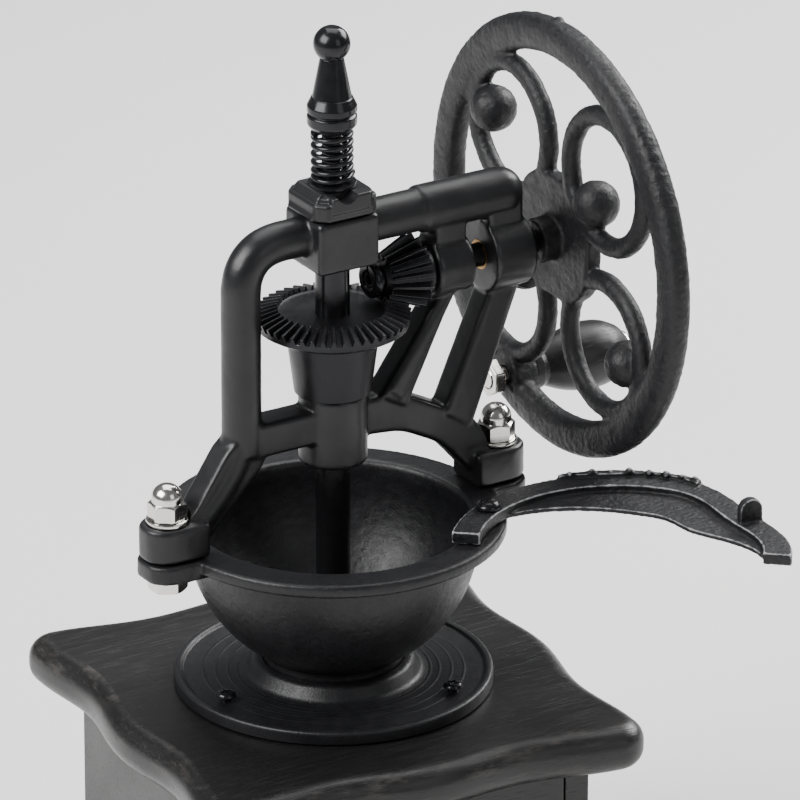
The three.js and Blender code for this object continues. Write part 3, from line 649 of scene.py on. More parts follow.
def edged_steel(name, body, highlight_colour, rough=0.34, sweep=0.35):
    """Dark oiled steel with a painted highlight: a pale colour along its machined edges stands in for their shine."""
    paint = Paint(name, Metallic=0.75, Specular_IOR_Level=0.5)
    grain = paint.noise(0.0006, 3)
    blotch = paint.noise(0.006, 4)
    # Painted highlight: the mask lays the pale colour on the sharpest edges, broken up by blotches, where the steel
    # catches the light.
    mask = paint.ramp(paint.edge() + blotch * sweep, 0.75, 1.15)
    shade = paint.mixed(blotch, shade_of(body, 0.7), shade_of(body, 1.5))
    colour_out = paint.mixed(mask, shade, solid_colour(highlight_colour))
    roughness = paint.ramp(grain * 0.4 + blotch * 0.6, 0.3, 0.7, rough - 0.05, rough + 0.12) - mask * 0.1
    normal = paint.relief(grain, 0.00004)
    return paint.feed(Base_Color=colour_out, Roughness=roughness, Normal=normal)


def turned_metal(name, body, rough, metallic=1.0, ring=0.0003, depth=0.000012):
    """Metal with faint lathe marks round Z and smudges."""
    paint = Paint(name, Metallic=metallic)
    stretched = paint.turned_place(0, (0.06, 0.06, 1))
    marks = paint.noise(ring, 2, place=stretched)
    smudge = paint.noise(0.004, 4)
    shade = paint.mixed(smudge, shade_of(body, 0.82), shade_of(body, 1.1))
    roughness = paint.ramp(smudge * 0.7 + marks * 0.3, 0.3, 0.7, rough * 0.75, rough * 1.4)
    normal = paint.relief(marks, depth)
    return paint.feed(Base_Color=shade, Roughness=roughness, Normal=normal)


def black_wood(name, dark, worn, turn):
    """Stained and lacquered board: grain under the lacquer, edges rubbed through in streaks."""
    paint = Paint(name, Coat_Weight=0.1, Coat_Roughness=0.28, Specular_IOR_Level=0.36)
    along = paint.turned_place(-turn, (0.09, 1, 1))
    grain = paint.noise(0.0011, 4, 0.6, along, 0.4)
    pores = paint.ramp(paint.noise(0.00055, 2, 0.5, paint.turned_place(-turn, (0.05, 1, 1))), 0.56, 0.72)
    broad = paint.noise(0.03, 3, 0.5, along)
    dings = paint.ramp(paint.pits(0.011), 0.02, 0.09, 1.0, 0.0)
    streak = paint.noise(0.0045, 6, 0.75, paint.turned_place(-turn, (0.35, 0.35, 1.6)))
    mask = paint.ramp(paint.edge() * 0.3 + streak, 0.78, 1.02) * 0.5
    shade = paint.mixed(grain, shade_of(dark, 0.65), shade_of(dark, 1.7))
    colour_out = paint.mixed(mask, shade, solid_colour(worn))
    roughness = paint.ramp(broad * 0.6 + grain * 0.4, 0.3, 0.7, 0.30, 0.44) + pores * 0.12 + mask * 0.12
    height = grain * 0.35 - pores * 0.4 - dings * 0.5 + streak * 0.25
    normal = paint.relief(height, 0.00011)
    return paint.feed(Base_Color=colour_out, Roughness=roughness, Normal=normal)


def bare_wood(name, shade, turn):
    """Plain sanded wood for the tray."""
    paint = Paint(name, Specular_IOR_Level=0.4)
    along = paint.turned_place(-turn, (1, 0.07, 1))
    grain = paint.noise(0.0016, 5, 0.6, along, 0.6)
    figure = paint.noise(0.012, 3, 0.5, along, 1.2)
    tone = paint.mixed(
        grain * 0.5 + figure * 0.5, shade_of(shade, 0.62), shade_of(shade, 1.3)
    )
    roughness = paint.ramp(grain, 0.3, 0.7, 0.55, 0.72)
    return paint.feed(Base_Color=tone, Roughness=roughness, Normal=paint.relief(grain, 0.00012))


def floor_paint(name, shade):
    paint = Paint(name, Specular_IOR_Level=0.25)
    haze = paint.noise(0.25, 3)
    tone = paint.mixed(haze, shade_of(shade, 0.97), shade_of(shade, 1.03))
    roughness = paint.ramp(haze, 0.3, 0.7, 0.75, 0.85)
    return paint.feed(Base_Color=tone, Roughness=roughness)


PAINTS = {}


def painted(name):
    """A material by name, made the first time it is asked for."""
    tones = bpy.context.scene.grinder_colours
    sizes = bpy.context.scene.grinder_sizes
    worn = tuple(tones.worn)
    makers = {
        "rough_iron": lambda: cast_paint("rough_iron", tones.paint, worn, 0.0009, 0.00045),
        "hopper_iron": lambda: cast_paint(
            "hopper_iron", tones.paint, worn, 0.0007, 0.00016, rough=(0.34, 0.5), wear=(0.66, 1.0)
        ),
        "guard_iron": lambda: cast_paint(
            "guard_iron", tones.paint, tones.edge_highlight_and_wear, 0.0007, 0.0004, wear=(0.62, 0.92)
        ),
        "satin_iron": lambda: satin_paint("satin_iron", tones.paint, worn),
        # Gear steel: its pale edges are a painted highlight.
        "gear_steel": lambda: edged_steel("gear_steel", tones.steel_black, tones.edge_highlight_and_wear),
        "black_steel": lambda: turned_metal("black_steel", tones.steel_black, 0.2, 0.6),
        "nickel": lambda: turned_metal("nickel", tones.nickel, 0.16, 1.0, 0.0005, 0.000006),
        "steel": lambda: turned_metal("steel", tones.steel, 0.28),
        "bronze": lambda: turned_metal("bronze", tones.bronze, 0.36),
        "black_wood": lambda: black_wood("black_wood", tones.wood_black, tones.wood_worn, sizes.box_turn),
        "knob_wood": lambda: black_wood("knob_wood", tones.wood_black, tones.wood_worn, math.pi / 2),
        "plain_wood": lambda: bare_wood("plain_wood", tones.wood_plain, sizes.box_turn),
        "floor": lambda: floor_paint("floor", tones.floor),
    }
    if name not in PAINTS:
        PAINTS[name] = makers[name]()
    return PAINTS[name]


# ---- wooden box ----------------------------------------------------------


def in_mm(value):
    return value / MM


def board_outline(sizes, side_steps=26, corner_steps=8):
    """Four sides that bulge in the middle and are hollow by the corners, with round corners."""
    half = in_mm(sizes.board_half)
    corner = in_mm(sizes.board_corner)
    straight = half - corner
    points = []
    for side in range(4):
        turn = Matrix.Rotation(side * math.pi / 2, 2)
        for step in range(side_steps + 1):
            along = straight * (2 * step / side_steps - 1)
            dip = in_mm(sizes.board_wave) * math.sin(math.pi * along / straight) ** 2
            points.append(turn @ Vector((half - dip, along)))
        for x, y in arc(corner, (straight, straight), 0, 90, corner_steps)[1:-1]:
            points.append(turn @ Vector((x, y)))
    return points


def board(sizes, low, high, hole=0):
    """A board with a rounded wavy edge, bored through the middle if a hole is given."""
    bm = bmesh.new()
    outline = [bm.verts.new((p.x, p.y, low)) for p in board_outline(sizes)]
    edges = [bm.edges.new((outline[i - 1], outline[i])) for i in range(len(outline))]
    if hole:
        circle = bmesh.ops.create_circle(bm, segments=64, radius=hole, matrix=Matrix.Translation((0, 0, low)))
        edges += list({e for v in circle["verts"] for e in v.link_edges})
        faces = bmesh.ops.bridge_loops(bm, edges=edges)["faces"]
    else:
        faces = [bm.faces.new(outline)]
    raised = bmesh.ops.extrude_face_region(bm, geom=faces)["geom"]
    verts = [g for g in raised if isinstance(g, bmesh.types.BMVert)]
    bmesh.ops.translate(bm, verts=verts, vec=(0, 0, high - low))
    tidy(bm)
    rim = [
        e for e in bm.edges
        if e.is_manifold and e.calc_face_angle(0) > 1.2 and min(v.co.xy.length for v in e.verts) > hole + 10
    ]
    marked_bevel(bm, rim, in_mm(sizes.board_round), 7)
    return rotated(bm, sizes.box_turn, "Z")


def marked_bevel(bm, edges, offset, segments):
    """Bevels edges and gives the new faces the attribute 'edge' that wear follows, and that the painted highlight on
    gear steel follows.
    """
    layer = bm.faces.layers.float.get("edge") or bm.faces.layers.float.new("edge")
    made = bmesh.ops.bevel(
        bm, geom=edges, offset=offset, offset_type="OFFSET", segments=segments, profile=0.5,
        affect="EDGES", material=-1, clamp_overlap=True,
    )
    for face in made["faces"]:
        face[layer] = 1
    return bm


def edges_for_wear_and_highlight(bm, offset, segments=2, least=30):
    """Softens the sharp edges and marks them for wear, and on gear steel for a painted highlight."""
    limit = math.radians(least)
    edges = [e for e in bm.edges if e.is_manifold and e.calc_face_angle(0) > limit]
    return marked_bevel(bm, edges, offset, segments)


class GRINDER_OT_boards(bpy.types.Operator):
    """Add the wavy top board and foot board"""

    bl_idname = "grinder.boards"
    bl_label = "Boards"

    def execute(self, context):
        sizes = context.scene.grinder_sizes
        well = in_mm(sizes.neck_radius) - 1
        top = board(sizes, BOARD_LOW, BOARD_TOP, well)
        hand_in(as_mesh(top), "board_top", ["top_board"], painted("black_wood"))
        foot = board(sizes, FOOT_LOW, FOOT_TOP)
        hand_in(as_mesh(foot), "board_foot", ["foot_board"], painted("black_wood"))
        return {"FINISHED"}


class GRINDER_OT_walls(bpy.types.Operator):
    """Add the four walls of the box"""

    bl_idname = "grinder.walls"
    bl_label = "Box walls"

    def execute(self, context):
        sizes = context.scene.grinder_sizes
        half = in_mm(sizes.box_half)
        inner = half - in_mm(sizes.wall)
        z = (WALL_LOW, WALL_TOP)
        walls = {
            "box_side_left": brick((-half, -inner - GAP), (-half, half), z, 0),
            "box_side_right": brick((inner + GAP, half), (-half, half), z, 0),
            "box_back": brick((-inner, inner), (inner, half), z, 0),
            "box_front": self.front(sizes, half, inner, z),
        }
        for node, bm in walls.items():
            edges_for_wear_and_highlight(bm, 0.7)
            rotated(bm, sizes.box_turn, "Z")
            hand_in(as_mesh(bm), node.replace("box", "wall"), [node], painted("black_wood"))
        return {"FINISHED"}

    def front(self, sizes, half, inner, z):
        """The front wall, a frame round the drawer's opening."""
        opening = in_mm(sizes.drawer_width) / 2
        slack = 0.5
        bm = bmesh.new()
        loops = []
        for reach, low, high in ((inner, *z), (opening, DRAWER_LOW - slack, DRAWER_HIGH + slack)):
            corners = ((-reach, low), (reach, low), (reach, high), (-reach, high))
            verts = [bm.verts.new((x, -half, height)) for x, height in corners]
            loops += [bm.edges.new((verts[i - 1], verts[i])) for i in range(4)]
        faces = bmesh.ops.bridge_loops(bm, edges=loops)["faces"]
        raised = bmesh.ops.extrude_face_region(bm, geom=faces)["geom"]
        verts = [g for g in raised if isinstance(g, bmesh.types.BMVert)]
        bmesh.ops.translate(bm, verts=verts, vec=(0, half - inner, 0))
        return tidy(bm)


class GRINDER_OT_drawer(bpy.types.Operator):
    """Add the drawer: its front, tray, knob and screw"""

    bl_idname = "grinder.drawer"
    bl_label = "Drawer"

    def execute(self, context):
        sizes = context.scene.grinder_sizes
        half = in_mm(sizes.drawer_width) / 2 - 0.5
        face = -in_mm(sizes.box_half)
        wall = in_mm(sizes.wall)
        front = brick((-half, half), (face, face + wall), (DRAWER_LOW, DRAWER_HIGH), 0)
        self.panel(front, face)
        edges_for_wear_and_highlight(front, 0.8)
        rotated(front, sizes.box_turn, "Z")
        hand_in(as_mesh(front), "front_panel", ["drawer_front"], painted("black_wood"))
        tray = self.tray(half, face + wall + GAP)
        rotated(tray, sizes.box_turn, "Z")
        hand_in(as_mesh(tray), "tray", ["drawer_tray"], painted("plain_wood"))
        self.knob(sizes, face)
        return {"FINISHED"}

    def panel(self, bm, face):
        """Routs a shallow border round the drawer's front."""
        outer = [f for f in bm.faces if f.normal.y < -0.9]
        bmesh.ops.inset_region(bm, faces=outer, thickness=4.5, depth=0)
        bmesh.ops.inset_region(bm, faces=outer, thickness=1.3, depth=-1.2)

    def tray(self, half, start):
        depth = 90 - GAP
        wall = 3
        bm = brick((-half, half), (start, start + depth), (DRAWER_LOW, DRAWER_HIGH - wall), 0)
        top = [f for f in bm.faces if f.normal.z > 0.9]
        bmesh.ops.inset_region(bm, faces=top, thickness=wall, depth=0)
        floor = bmesh.ops.extrude_face_region(bm, geom=top)["geom"]
        verts = [g for g in floor if isinstance(g, bmesh.types.BMVert)]
        bmesh.ops.translate(bm, verts=verts, vec=(0, 0, DRAWER_LOW + 2 * wall - DRAWER_HIGH))
        bmesh.ops.delete(bm, geom=[f for f in top if f.is_valid], context="FACES_ONLY")
        return edges_for_wear_and_highlight(tidy(bm), 0.4)

    def knob(self, sizes, face):
        middle = (DRAWER_LOW + DRAWER_HIGH) / 2
        outline = [
            (0, 0), (5.2, 0, 0.4), (5.2, 2.6, 1), (3.7, 4.6, 2), (4.4, 7.2, 2), (7.6, 9.6, 3), (8.2, 13.4, 3.4),
            (6.4, 17.6, 3), (2.4, 19.5, 2), (0, 19.6),
        ]
        knob = turned(open_fillet(outline), 72)
        moved(rotated(knob, math.pi / 2, "X"), y=face - GAP, z=middle)
        rotated(knob, sizes.box_turn, "Z")
        hand_in(as_mesh(knob), "pull_knob", ["drawer_knob"], painted("knob_wood"))
        start = face + in_mm(sizes.wall) + GAP + 3 + GAP
        outline = [(0, 0), (2, 0), (2, 12), (3.8, 12), (3.8, 13.2, 0.6), (2, 14), (0, 14)]
        screw = turned(open_fillet(outline), 36)
        mesh = carved(as_mesh(screw), brick((-0.4, 0.4), (-5, 5), (13.3, 15), 0), "DIFFERENCE")
        mesh.transform(Matrix.Translation((0, start + 2, middle)) @ Matrix.Rotation(-math.pi / 2, 4, "X"))
        mesh.transform(Matrix.Translation((0, -12, 0)))
        mesh.transform(Matrix.Rotation(sizes.box_turn, 4, "Z"))
        hand_in(mesh, "pull_screw", ["drawer_knob_screw"], painted("steel"))


def open_fillet(points, steps=4):
    """Rounds only the corners that carry a radius of their own, on an open outline."""
    return filleted(points, 0, steps)


# ---- base disc and hopper ------------------------------------------------


def recess(places, width, reach, low, high):
    """Cutters for a screw's slot at each place."""
    cutters = []
    for x, y, a in places:
        bar = brick((-reach, reach), (-width, width), (low, high), 0)
        cutters.append(moved(rotated(bar, a, "Z"), x, y))
    return cutters


class GRINDER_OT_base_disc(bpy.types.Operator):
    """Add the stepped base disc and its three screws"""

    bl_idname = "grinder.base_disc"
    bl_label = "Base disc"

    def execute(self, context):
        sizes = context.scene.grinder_sizes
        bore = in_mm(sizes.neck_radius) + GAP
        low = DISC_LOW
        plate = low + 3.1
        outline = [(bore, low), (DISC_R, low, 0.5), (DISC_R, low + 3.9, 1.1), (DISC_R - 2.0, low + 4.1, 0.8)]
        outline += [(DISC_R - 2.8, plate, 0.5), (39.0, plate, 0.3)]
        for r in (38.0, 34.4, 30.8, 28.2):
            outline += [(r + 0.5, plate, 0.3), (r, plate + 0.16, 0.3), (r - 0.5, plate, 0.3)]
        outline += [(25.5, plate + 0.5, 2), (bore + 2.2, DISC_TOP - 0.4, 1.5), (bore, DISC_TOP, 0.4)]
        disc = turned(filleted(outline, 0, 4), 144)
        hand_in(as_mesh(disc), "disc_casting", ["base_disc"], painted("hopper_iron"), 50)
        for i in range(3):
            self.screw(f"disc_screw_{i + 1}")
        return {"FINISHED"}

    def screw(self, node):
        x = sum(span(node, X)) / 2
        y = sum(span(node, Y)) / 2
        low, high = span(node, Z)
        head = high - 1.6
        outline = [(0, low), (1.5, low), (1.5, head), (3, head, 0.3), (2.5, high - 0.4, 0.8), (0, high)]
        screw = as_mesh(turned(open_fillet(outline), 40))
        turn = math.atan2(y, x)
        for slot in recess([(0, 0, turn), (0, 0, turn + math.pi / 2)], 0.35, 1.7, high - 0.8, high + 1):
            screw = carved(screw, slot, "DIFFERENCE")
        screw.transform(Matrix.Translation((x, y, 0)))
        hand_in(screw, node.replace("disc_", "small_"), [node], painted("black_steel"))


def ear_outline(start, half, end):
    """One bolting ear, from inside the flange to its rounded tip."""
    return [
        (start, -half, 0), (EAR_X + end - 4.5, -half, 3), (EAR_X + end, -half + 4, 2.5),
        (EAR_X + end, half - 4, 2.5), (EAR_X + end - 4.5, half, 3), (start, half, 0),
    ]


def both_ears(maker):
    """The same part at the right ear and, turned half round, at the left one."""
    return [maker(), rotated(maker(), math.pi, "Z")]


class GRINDER_OT_hopper(bpy.types.Operator):
    """Add the cast bowl with its flange, neck and bolting ears"""

    bl_idname = "grinder.hopper"
    bl_label = "Hopper"

    def execute(self, context):
        sizes = context.scene.grinder_sizes
        outer = in_mm(sizes.bowl_radius)
        inner = outer - in_mm(sizes.bowl_wall)
        neck = in_mm(sizes.neck_radius)
        throat = 17
        flange = 4
        ball_z = FLANGE_TOP - flange
        mouth = math.degrees(math.acos(throat / inner))
        waist = math.degrees(math.acos(neck / outer))
        outline = [(throat, BOWL_LOW)]
        outline += arc(inner, (0, ball_z), -mouth, 0, 28)
        outline += [(inner + 0.4, FLANGE_TOP - 0.9), (inner + 1.2, FLANGE_TOP)]
        outline += arc(0.9, (FLANGE_R - 0.9, FLANGE_TOP - 0.9), 90, 0, 3)
        outline += arc(0.7, (FLANGE_R - 0.7, ball_z + 0.7), 0, -90, 3)
        outline += [(outer + 1.2, ball_z - 0.1)]
        outline += arc(outer, (0, ball_z), -2, -waist, 28)
        outline += [(neck, BOWL_LOW)]
        body = turned(outline, 160)
        tip = EAR_TIP - EAR_X
        outline = ear_outline(outer + 2, 8.5, tip)
        ears = both_ears(lambda: slab(filleted(outline, 0), ball_z - 1.5, FLANGE_TOP))
        holes = both_ears(lambda: moved(rod(3.05, ball_z - 4, FLANGE_TOP + 2), EAR_X))
        px, py = guard_pivot()
        holes.append(moved(rod(2.05, ball_z - 4, FLANGE_TOP + 2), px, py))
        mesh = cast("bowl", [body, *ears], 0.7, 3, holes)
        roughened(mesh, 0.07, 1.6, 3)
        hand_in(mesh, "bowl", ["hopper_bowl"], painted("hopper_iron"), 50, crisp=False)
        return {"FINISHED"}


# ---- clamps --------------------------------------------------------------


def dome_nut(flats, low, height, bore):
    """A hexagonal nut with turned-off corners, a collar and a dome."""
    across = flats / math.sqrt(3)
    hexagon = bmesh.new()
    bmesh.ops.create_cone(
        hexagon, cap_ends=True, segments=6, radius1=across, radius2=across, depth=5,
        matrix=Matrix.Translation((0, 0, 2.5)),
    )
    limit = [(0, -0.1), (across - 0.6, -0.1), (across + 0.1, 0.55), (across + 0.1, 4.1), (across - 1.1, 5.1), (0, 5.1)]
    nut = carved(as_mesh(hexagon), turned(limit, 72), "INTERSECT")
    dome = [(0, 4.6), (4.5, 4.6), (4.5, 6.4)]
    dome += [(4.5 * math.cos(a), 6.4 + (height - 6.4) * math.sin(a)) for a in np.linspace(0.12, math.pi / 2, 12)]
    nut = carved(nut, turned(dome, 72), "UNION")
    nut = carved(nut, rod(bore, -1, height - 2), "DIFFERENCE")
    nut.transform(Matrix.Translation((0, 0, low)))
    return nut


class GRINDER_OT_clamps(bpy.types.Operator):
    """Add the bolts, washers and dome nuts that clamp the bridge to the hopper"""

    bl_idname = "grinder.clamps"
    bl_label = "Clamps"

    def execute(self, context):
        for side in ("right", "left"):
            x = sum(span(f"clamp_bolt_{side}", X)) / 2
            self.nut(side, x)
            self.washer(side, x)
            self.bolt(side, x)
        return {"FINISHED"}

    def nut(self, side, x):
        low, high = span(f"clamp_nut_{side}", Z)
        nut = dome_nut(10, 0, high - low, 3.05)
        turn = Matrix.Rotation(math.radians(12 if side == "right" else -8), 4, "Z")
        nut.transform(Matrix.Translation((x, 0, low)) @ turn)
        hand_in(nut, f"dome_nut_{side}", [f"clamp_nut_{side}"], painted("nickel"), 28)

    def washer(self, side, x):
        low, high = span(f"clamp_washer_{side}", Z)
        washer = moved(sleeve(3.05, 6.2, low, high, 0.3, 72), x)
        hand_in(as_mesh(washer), f"washer_{side}", [f"clamp_washer_{side}"], painted("nickel"))

    def bolt(self, side, x):
        low, high = span(f"clamp_bolt_{side}", Z)
        head = bmesh.new()
        bmesh.ops.create_cone(
            head, cap_ends=True, segments=6, radius1=5.77, radius2=5.77, depth=4,
            matrix=Matrix.Translation((0, 0, low + 2)),
        )
        limit = [(0, low - 0.1), (5.0, low - 0.1), (5.9, low + 0.6), (5.9, low + 4.1), (0, low + 4.1)]
        bolt = carved(as_mesh(head), turned(limit, 72), "INTERSECT")
        shank = [(0, low + 3.5), *threaded(3, low + 3.5, high - 0.5), (0, high)]
        bolt = carved(bolt, turned(shank, 40), "UNION")
        bolt.transform(Matrix.Translation((x, 0, 0)))
        hand_in(bolt, f"bolt_{side}", [f"clamp_bolt_{side}"], painted("nickel"), 28)


# ---- bean guard ----------------------------------------------------------

GUARD_AT = -36.5
GUARD_R = 45
GUARD_HALF = 4.1
GUARD_T = 3.6
GUARD_TAIL = 24
GUARD_SPAN = 157
GUARD_OPEN = 152
LUG_AT = 124
LUG_R = 3.5


def guard_pivot():
    a = math.radians(GUARD_AT)
    return GUARD_R * math.cos(a), GUARD_R * math.sin(a)


def flattened(angle_on):
    """How far the strip stays inside its circle, at an angle in degrees from the pivot."""
    t = (angle_on - 78) / 79
    return 5.5 * math.sin(math.pi * t) ** 2 if 0 < t < 1 else 0


def crescent(start, end, inner, outer, steps=60):
    """A strip of the guard between two angles from its pivot; an edge may be a function, 0 to 1."""
    points = []
    for edge, way in ((outer, 1), (inner, -1)):
        for i in range(steps + 1)[::way]:
            t = i / steps
            on = start + (end - start) * t
            r = (edge(t) if callable(edge) else edge) - flattened(on)
            a = math.radians(GUARD_AT - on)
            points.append((r * math.cos(a), r * math.sin(a)))
    return points


def opened(mesh):
    """Turns a part of the guard from where it is drawn, closed, to where it stands."""
    px, py = guard_pivot()
    there = Matrix.Translation((px, py, 0)) @ Matrix.Rotation(math.radians(GUARD_OPEN), 4, "Z")
    mesh.transform(there @ Matrix.Translation((-px, -py, 0)))
    return mesh


class GRINDER_OT_guard(bpy.types.Operator):
    """Add the swinging bean guard and its pivot screw"""

    bl_idname = "grinder.guard"
    bl_label = "Bean guard"

    def execute(self, context):
        sizes = context.scene.grinder_sizes
        low = GUARD_LOW
        top = low + GUARD_T
        rim = GUARD_R + GUARD_HALF
        edge = GUARD_R - GUARD_HALF
        px, py = guard_pivot()
        strip = slab(crescent(-GUARD_TAIL, GUARD_SPAN, edge, rim), low, top)
        web = slab(crescent(4, 153, lambda t: edge - 14 * math.sin(math.pi * t), edge + 1), low, low + 1.5)
        lip = slab(crescent(36, 87, lambda t: rim - 2.2 + 0.6 * math.cos(9 * t), rim), top - 1, top + 1.3)
        parts = [strip, web, lip, *self.bumps(rim, top), self.lug(rim, top)]
        hole = moved(rod(2.05, low - 1, top + 3), px, py)
        mesh = cast("guard", parts, in_mm(sizes.guard_grid), 2, [hole])
        roughened(mesh, 0.14, 1.3, 5)
        paint = painted("guard_iron")
        hand_in(opened(mesh), "crescent", ["bean_guard"], paint, 50, crisp=False)
        self.screw(px, py)
        return {"FINISHED"}

    def bumps(self, rim, top):
        """Small uneven lumps that the mould left along the raised lip."""
        lumps = []
        places = [(40, 0.9), (48, 1.2), (54, 0.8), (61, 1.3), (68, 1.0), (74, 1.2), (80, 0.9), (85, 1.1)]
        for on, size in places:
            a = math.radians(GUARD_AT - on)
            r = rim - 1.3 - flattened(on)
            lumps.append(ball(size, r * math.cos(a), r * math.sin(a), top + 1.2, 16))
        return lumps

    def lug(self, rim, top):
        """The thumb lug: a half round plate that stands across the strip's outer side."""
        outline = [(-LUG_R, top - 1), (LUG_R, top - 1)]
        outline += [(x, z) for x, z in arc(LUG_R, (0, top + LUG_R), 0, 180, 20)]
        plate = upright(outline, 3, 0.4)
        return rotated(moved(plate, rim - LUG_R - flattened(LUG_AT)), math.radians(GUARD_AT - LUG_AT), "Z")

    def screw(self, px, py):
        low, high = span("guard_screw", Z)
        head = high - 2.4
        outline = [(0, low), (2, low), (2, head), (3.7, head, 0.4)]
        outline += [(3.5, head + 1.0, 0.8), (2.2, high - 0.2, 1), (0, high)]
        screw = as_mesh(turned(open_fillet(outline), 48))
        screw = carved(screw, joined(*recess([(0, 0, 0.5)], 0.45, 5, high - 0.9, high + 1)), "DIFFERENCE")
        screw.transform(Matrix.Translation((px, py, 0)))
        hand_in(screw, "pivot_screw", ["guard_screw"], painted("black_steel"))


# ---- bridge --------------------------------------------------------------

LEG_X = 30.5
ELBOW = 14
SADDLE_HALF = 10
LOW_BOSS_LOW, LOW_BOSS_TOP = span("spindle_bush_lower", Z)
BOSS_A = (*span("shaft_bush_inner", X), 9)
BOSS_B = (*span("shaft_bush_outer", X), 11)


class GRINDER_OT_bridge(bpy.types.Operator):
    """Add the cast bridge: feet, leg, crossbar, ribs, bearing bosses, top bar and saddle"""

    bl_idname = "grinder.bridge"
    bl_label = "Bridge"

    def execute(self, context):
        sizes = context.scene.grinder_sizes
        leg = in_mm(sizes.leg_radius)
        bar = in_mm(sizes.bar_radius)
        bar_z = SADDLE_TOP - bar
        foot = FOOT_UNDER
        foot_top = foot + 10.5
        deck = LOW_BOSS_LOW + 18
        bearing = [(0, LOW_BOSS_LOW, 0), (10, LOW_BOSS_LOW), (10, LOW_BOSS_TOP), (0, LOW_BOSS_TOP, 0)]
        foot_outline = ear_outline(45, 7.5, EAR_TIP - EAR_X)
        parts = both_ears(lambda: slab(filleted(foot_outline, 0), foot, foot_top, 1.1))
        parts += self.left(leg, bar_z, foot, foot_top, deck)
        parts += self.right(foot, foot_top, deck)
        parts += self.top(bar, bar_z)
        parts += [
            along_x(turned(self.boss(*BOSS_A), 72)),
            along_x(turned(self.boss(*BOSS_B), 72)),
            turned(filleted(bearing, 0.8), 96),
        ]
        above = foot_top + 14
        seat = [(0, foot - 1), (3.05, foot - 1), (3.05, foot_top), (6.8, foot_top), (6.8, above), (0, above)]
        holes = both_ears(lambda: moved(turned(seat, 64), EAR_X))
        for low, high in ((LOW_BOSS_LOW, LOW_BOSS_TOP), (SADDLE_TOP - 16, SADDLE_TOP)):
            holes.append(rod(SPINDLE_BUSH_BORE, low - 2, high + 2, 64))
        for start, end, _ in (BOSS_A, BOSS_B):
            holes.append(along_x(rod(SHAFT_BUSH_BORE, start - 2, end + 2)))
        mesh = cast("bridge_casting", parts, in_mm(sizes.casting_grid), 4, holes)
        roughened(mesh, 0.05, 3.0, 7)
        hand_in(mesh, "bridge_casting", ["bridge"], painted("satin_iron"), 48, crisp=False)
        return {"FINISHED"}

    def boss(self, start, end, radius):
        return filleted([(0, start, 0), (radius, start), (radius, end), (0, end, 0)], 0.7)

    def left(self, leg, bar_z, foot, foot_top, deck):
        """The round leg with its elbow, and the strut that carries it out to the foot."""
        path = [(-LEG_X, 0, deck - 9), (-LEG_X, 0, bar_z - ELBOW)]
        for i in range(1, 25):
            t = i / 24
            path.append((-LEG_X + ELBOW * t**2, 0, bar_z - ELBOW * (1 - t) ** 2))
        path.append((0, 0, bar_z))
        knee = [(-LEG_X, 0, deck + 2)]
        knee += [(-LEG_X - 17 * t * t, 0, deck + 2 - 30 * t) for t in np.linspace(0.15, 1, 14)]
        strut = [
            (-LEG_X - leg, deck - 4, 5), (-LEG_X + leg, deck, 2), (-LEG_X + leg, deck - 12, 3),
            (-43.5, foot + 4), (-50.5, foot + 4), (-EAR_X + 3, foot_top), (-EAR_X + 7, foot_top + 3, 2),
        ]
        return [
            swept(path, leg, 40),
            swept(knee, leg - 0.5, 32),
            upright(filleted(strut, 0), 2 * leg - 2.4, 1.6),
            brick((-LEG_X, 0), (-5, 5), (deck - 10.5, deck), 1.2),
        ]

    def right(self, foot, foot_top, deck):
        """The web to the right foot and the two slanted ribs that carry the shaft's bosses."""
        under = SHAFT_Z - BOSS_A[2] + 4
        web = [
            (0, deck - 11), (0, deck), (21, deck - 1, 2), (EAR_X - 17, deck - 10, 3), (EAR_X - 9, deck - 15, 3),
            (EAR_X - 2, foot_top - 1), (45.5, foot + 3, 2), (EAR_X - 21, deck - 20, 4), (21, deck - 13, 4),
        ]
        rib_in = [(13.4, deck - 1), (22.5, deck - 6), (40, under), (35.5, under)]
        rib_out = [(34.9, deck - 11), (44.4, deck - 17.5), (61.5, under - 3), (51.5, under - 3)]
        groove_in = [(16.4, deck + 1), (20.3, deck - 2), (38.2, under - 3), (36.6, under - 3)]
        ribs = [upright(rib_in, 9.5, 1.5), upright(rib_out, 9.5, 1.5)]
        spine = [upright(groove_in, 10.6, 0.4)]
        return [upright(filleted(web, 0), 8, 1.2), *ribs, *spine]

    def top(self, bar, bar_z):
        """The top bar, its fatter outer length, the hangers of the bosses and the saddle."""
        end = BOSS_B[0] + 6.7
        bar_low = rotated(rod(bar, 0, end, 64), math.pi / 2, "Y")
        outer = rotated(rod(bar + 0.7, 28.5, end, 64), math.pi / 2, "Y")
        saddle_low = SADDLE_TOP - 16
        half = SADDLE_HALF
        saddle = [(-half, saddle_low), (half, saddle_low), (half, SADDLE_TOP), (-half, SADDLE_TOP)]
        return [
            moved(bar_low, z=bar_z),
            moved(outer, z=bar_z),
            ball(bar + 0.7, end, 0, bar_z, 48),
            brick((BOSS_A[0] + 1, BOSS_A[1] - 1), (-5, 5), (SHAFT_Z, bar_z), 0.8),
            brick((BOSS_B[0] + 0.5, BOSS_B[1] - 1.5), (-5.5, 5.5), (SHAFT_Z, bar_z), 0.8),
            upright(saddle, 2 * SADDLE_HALF, 1.2),
        ]


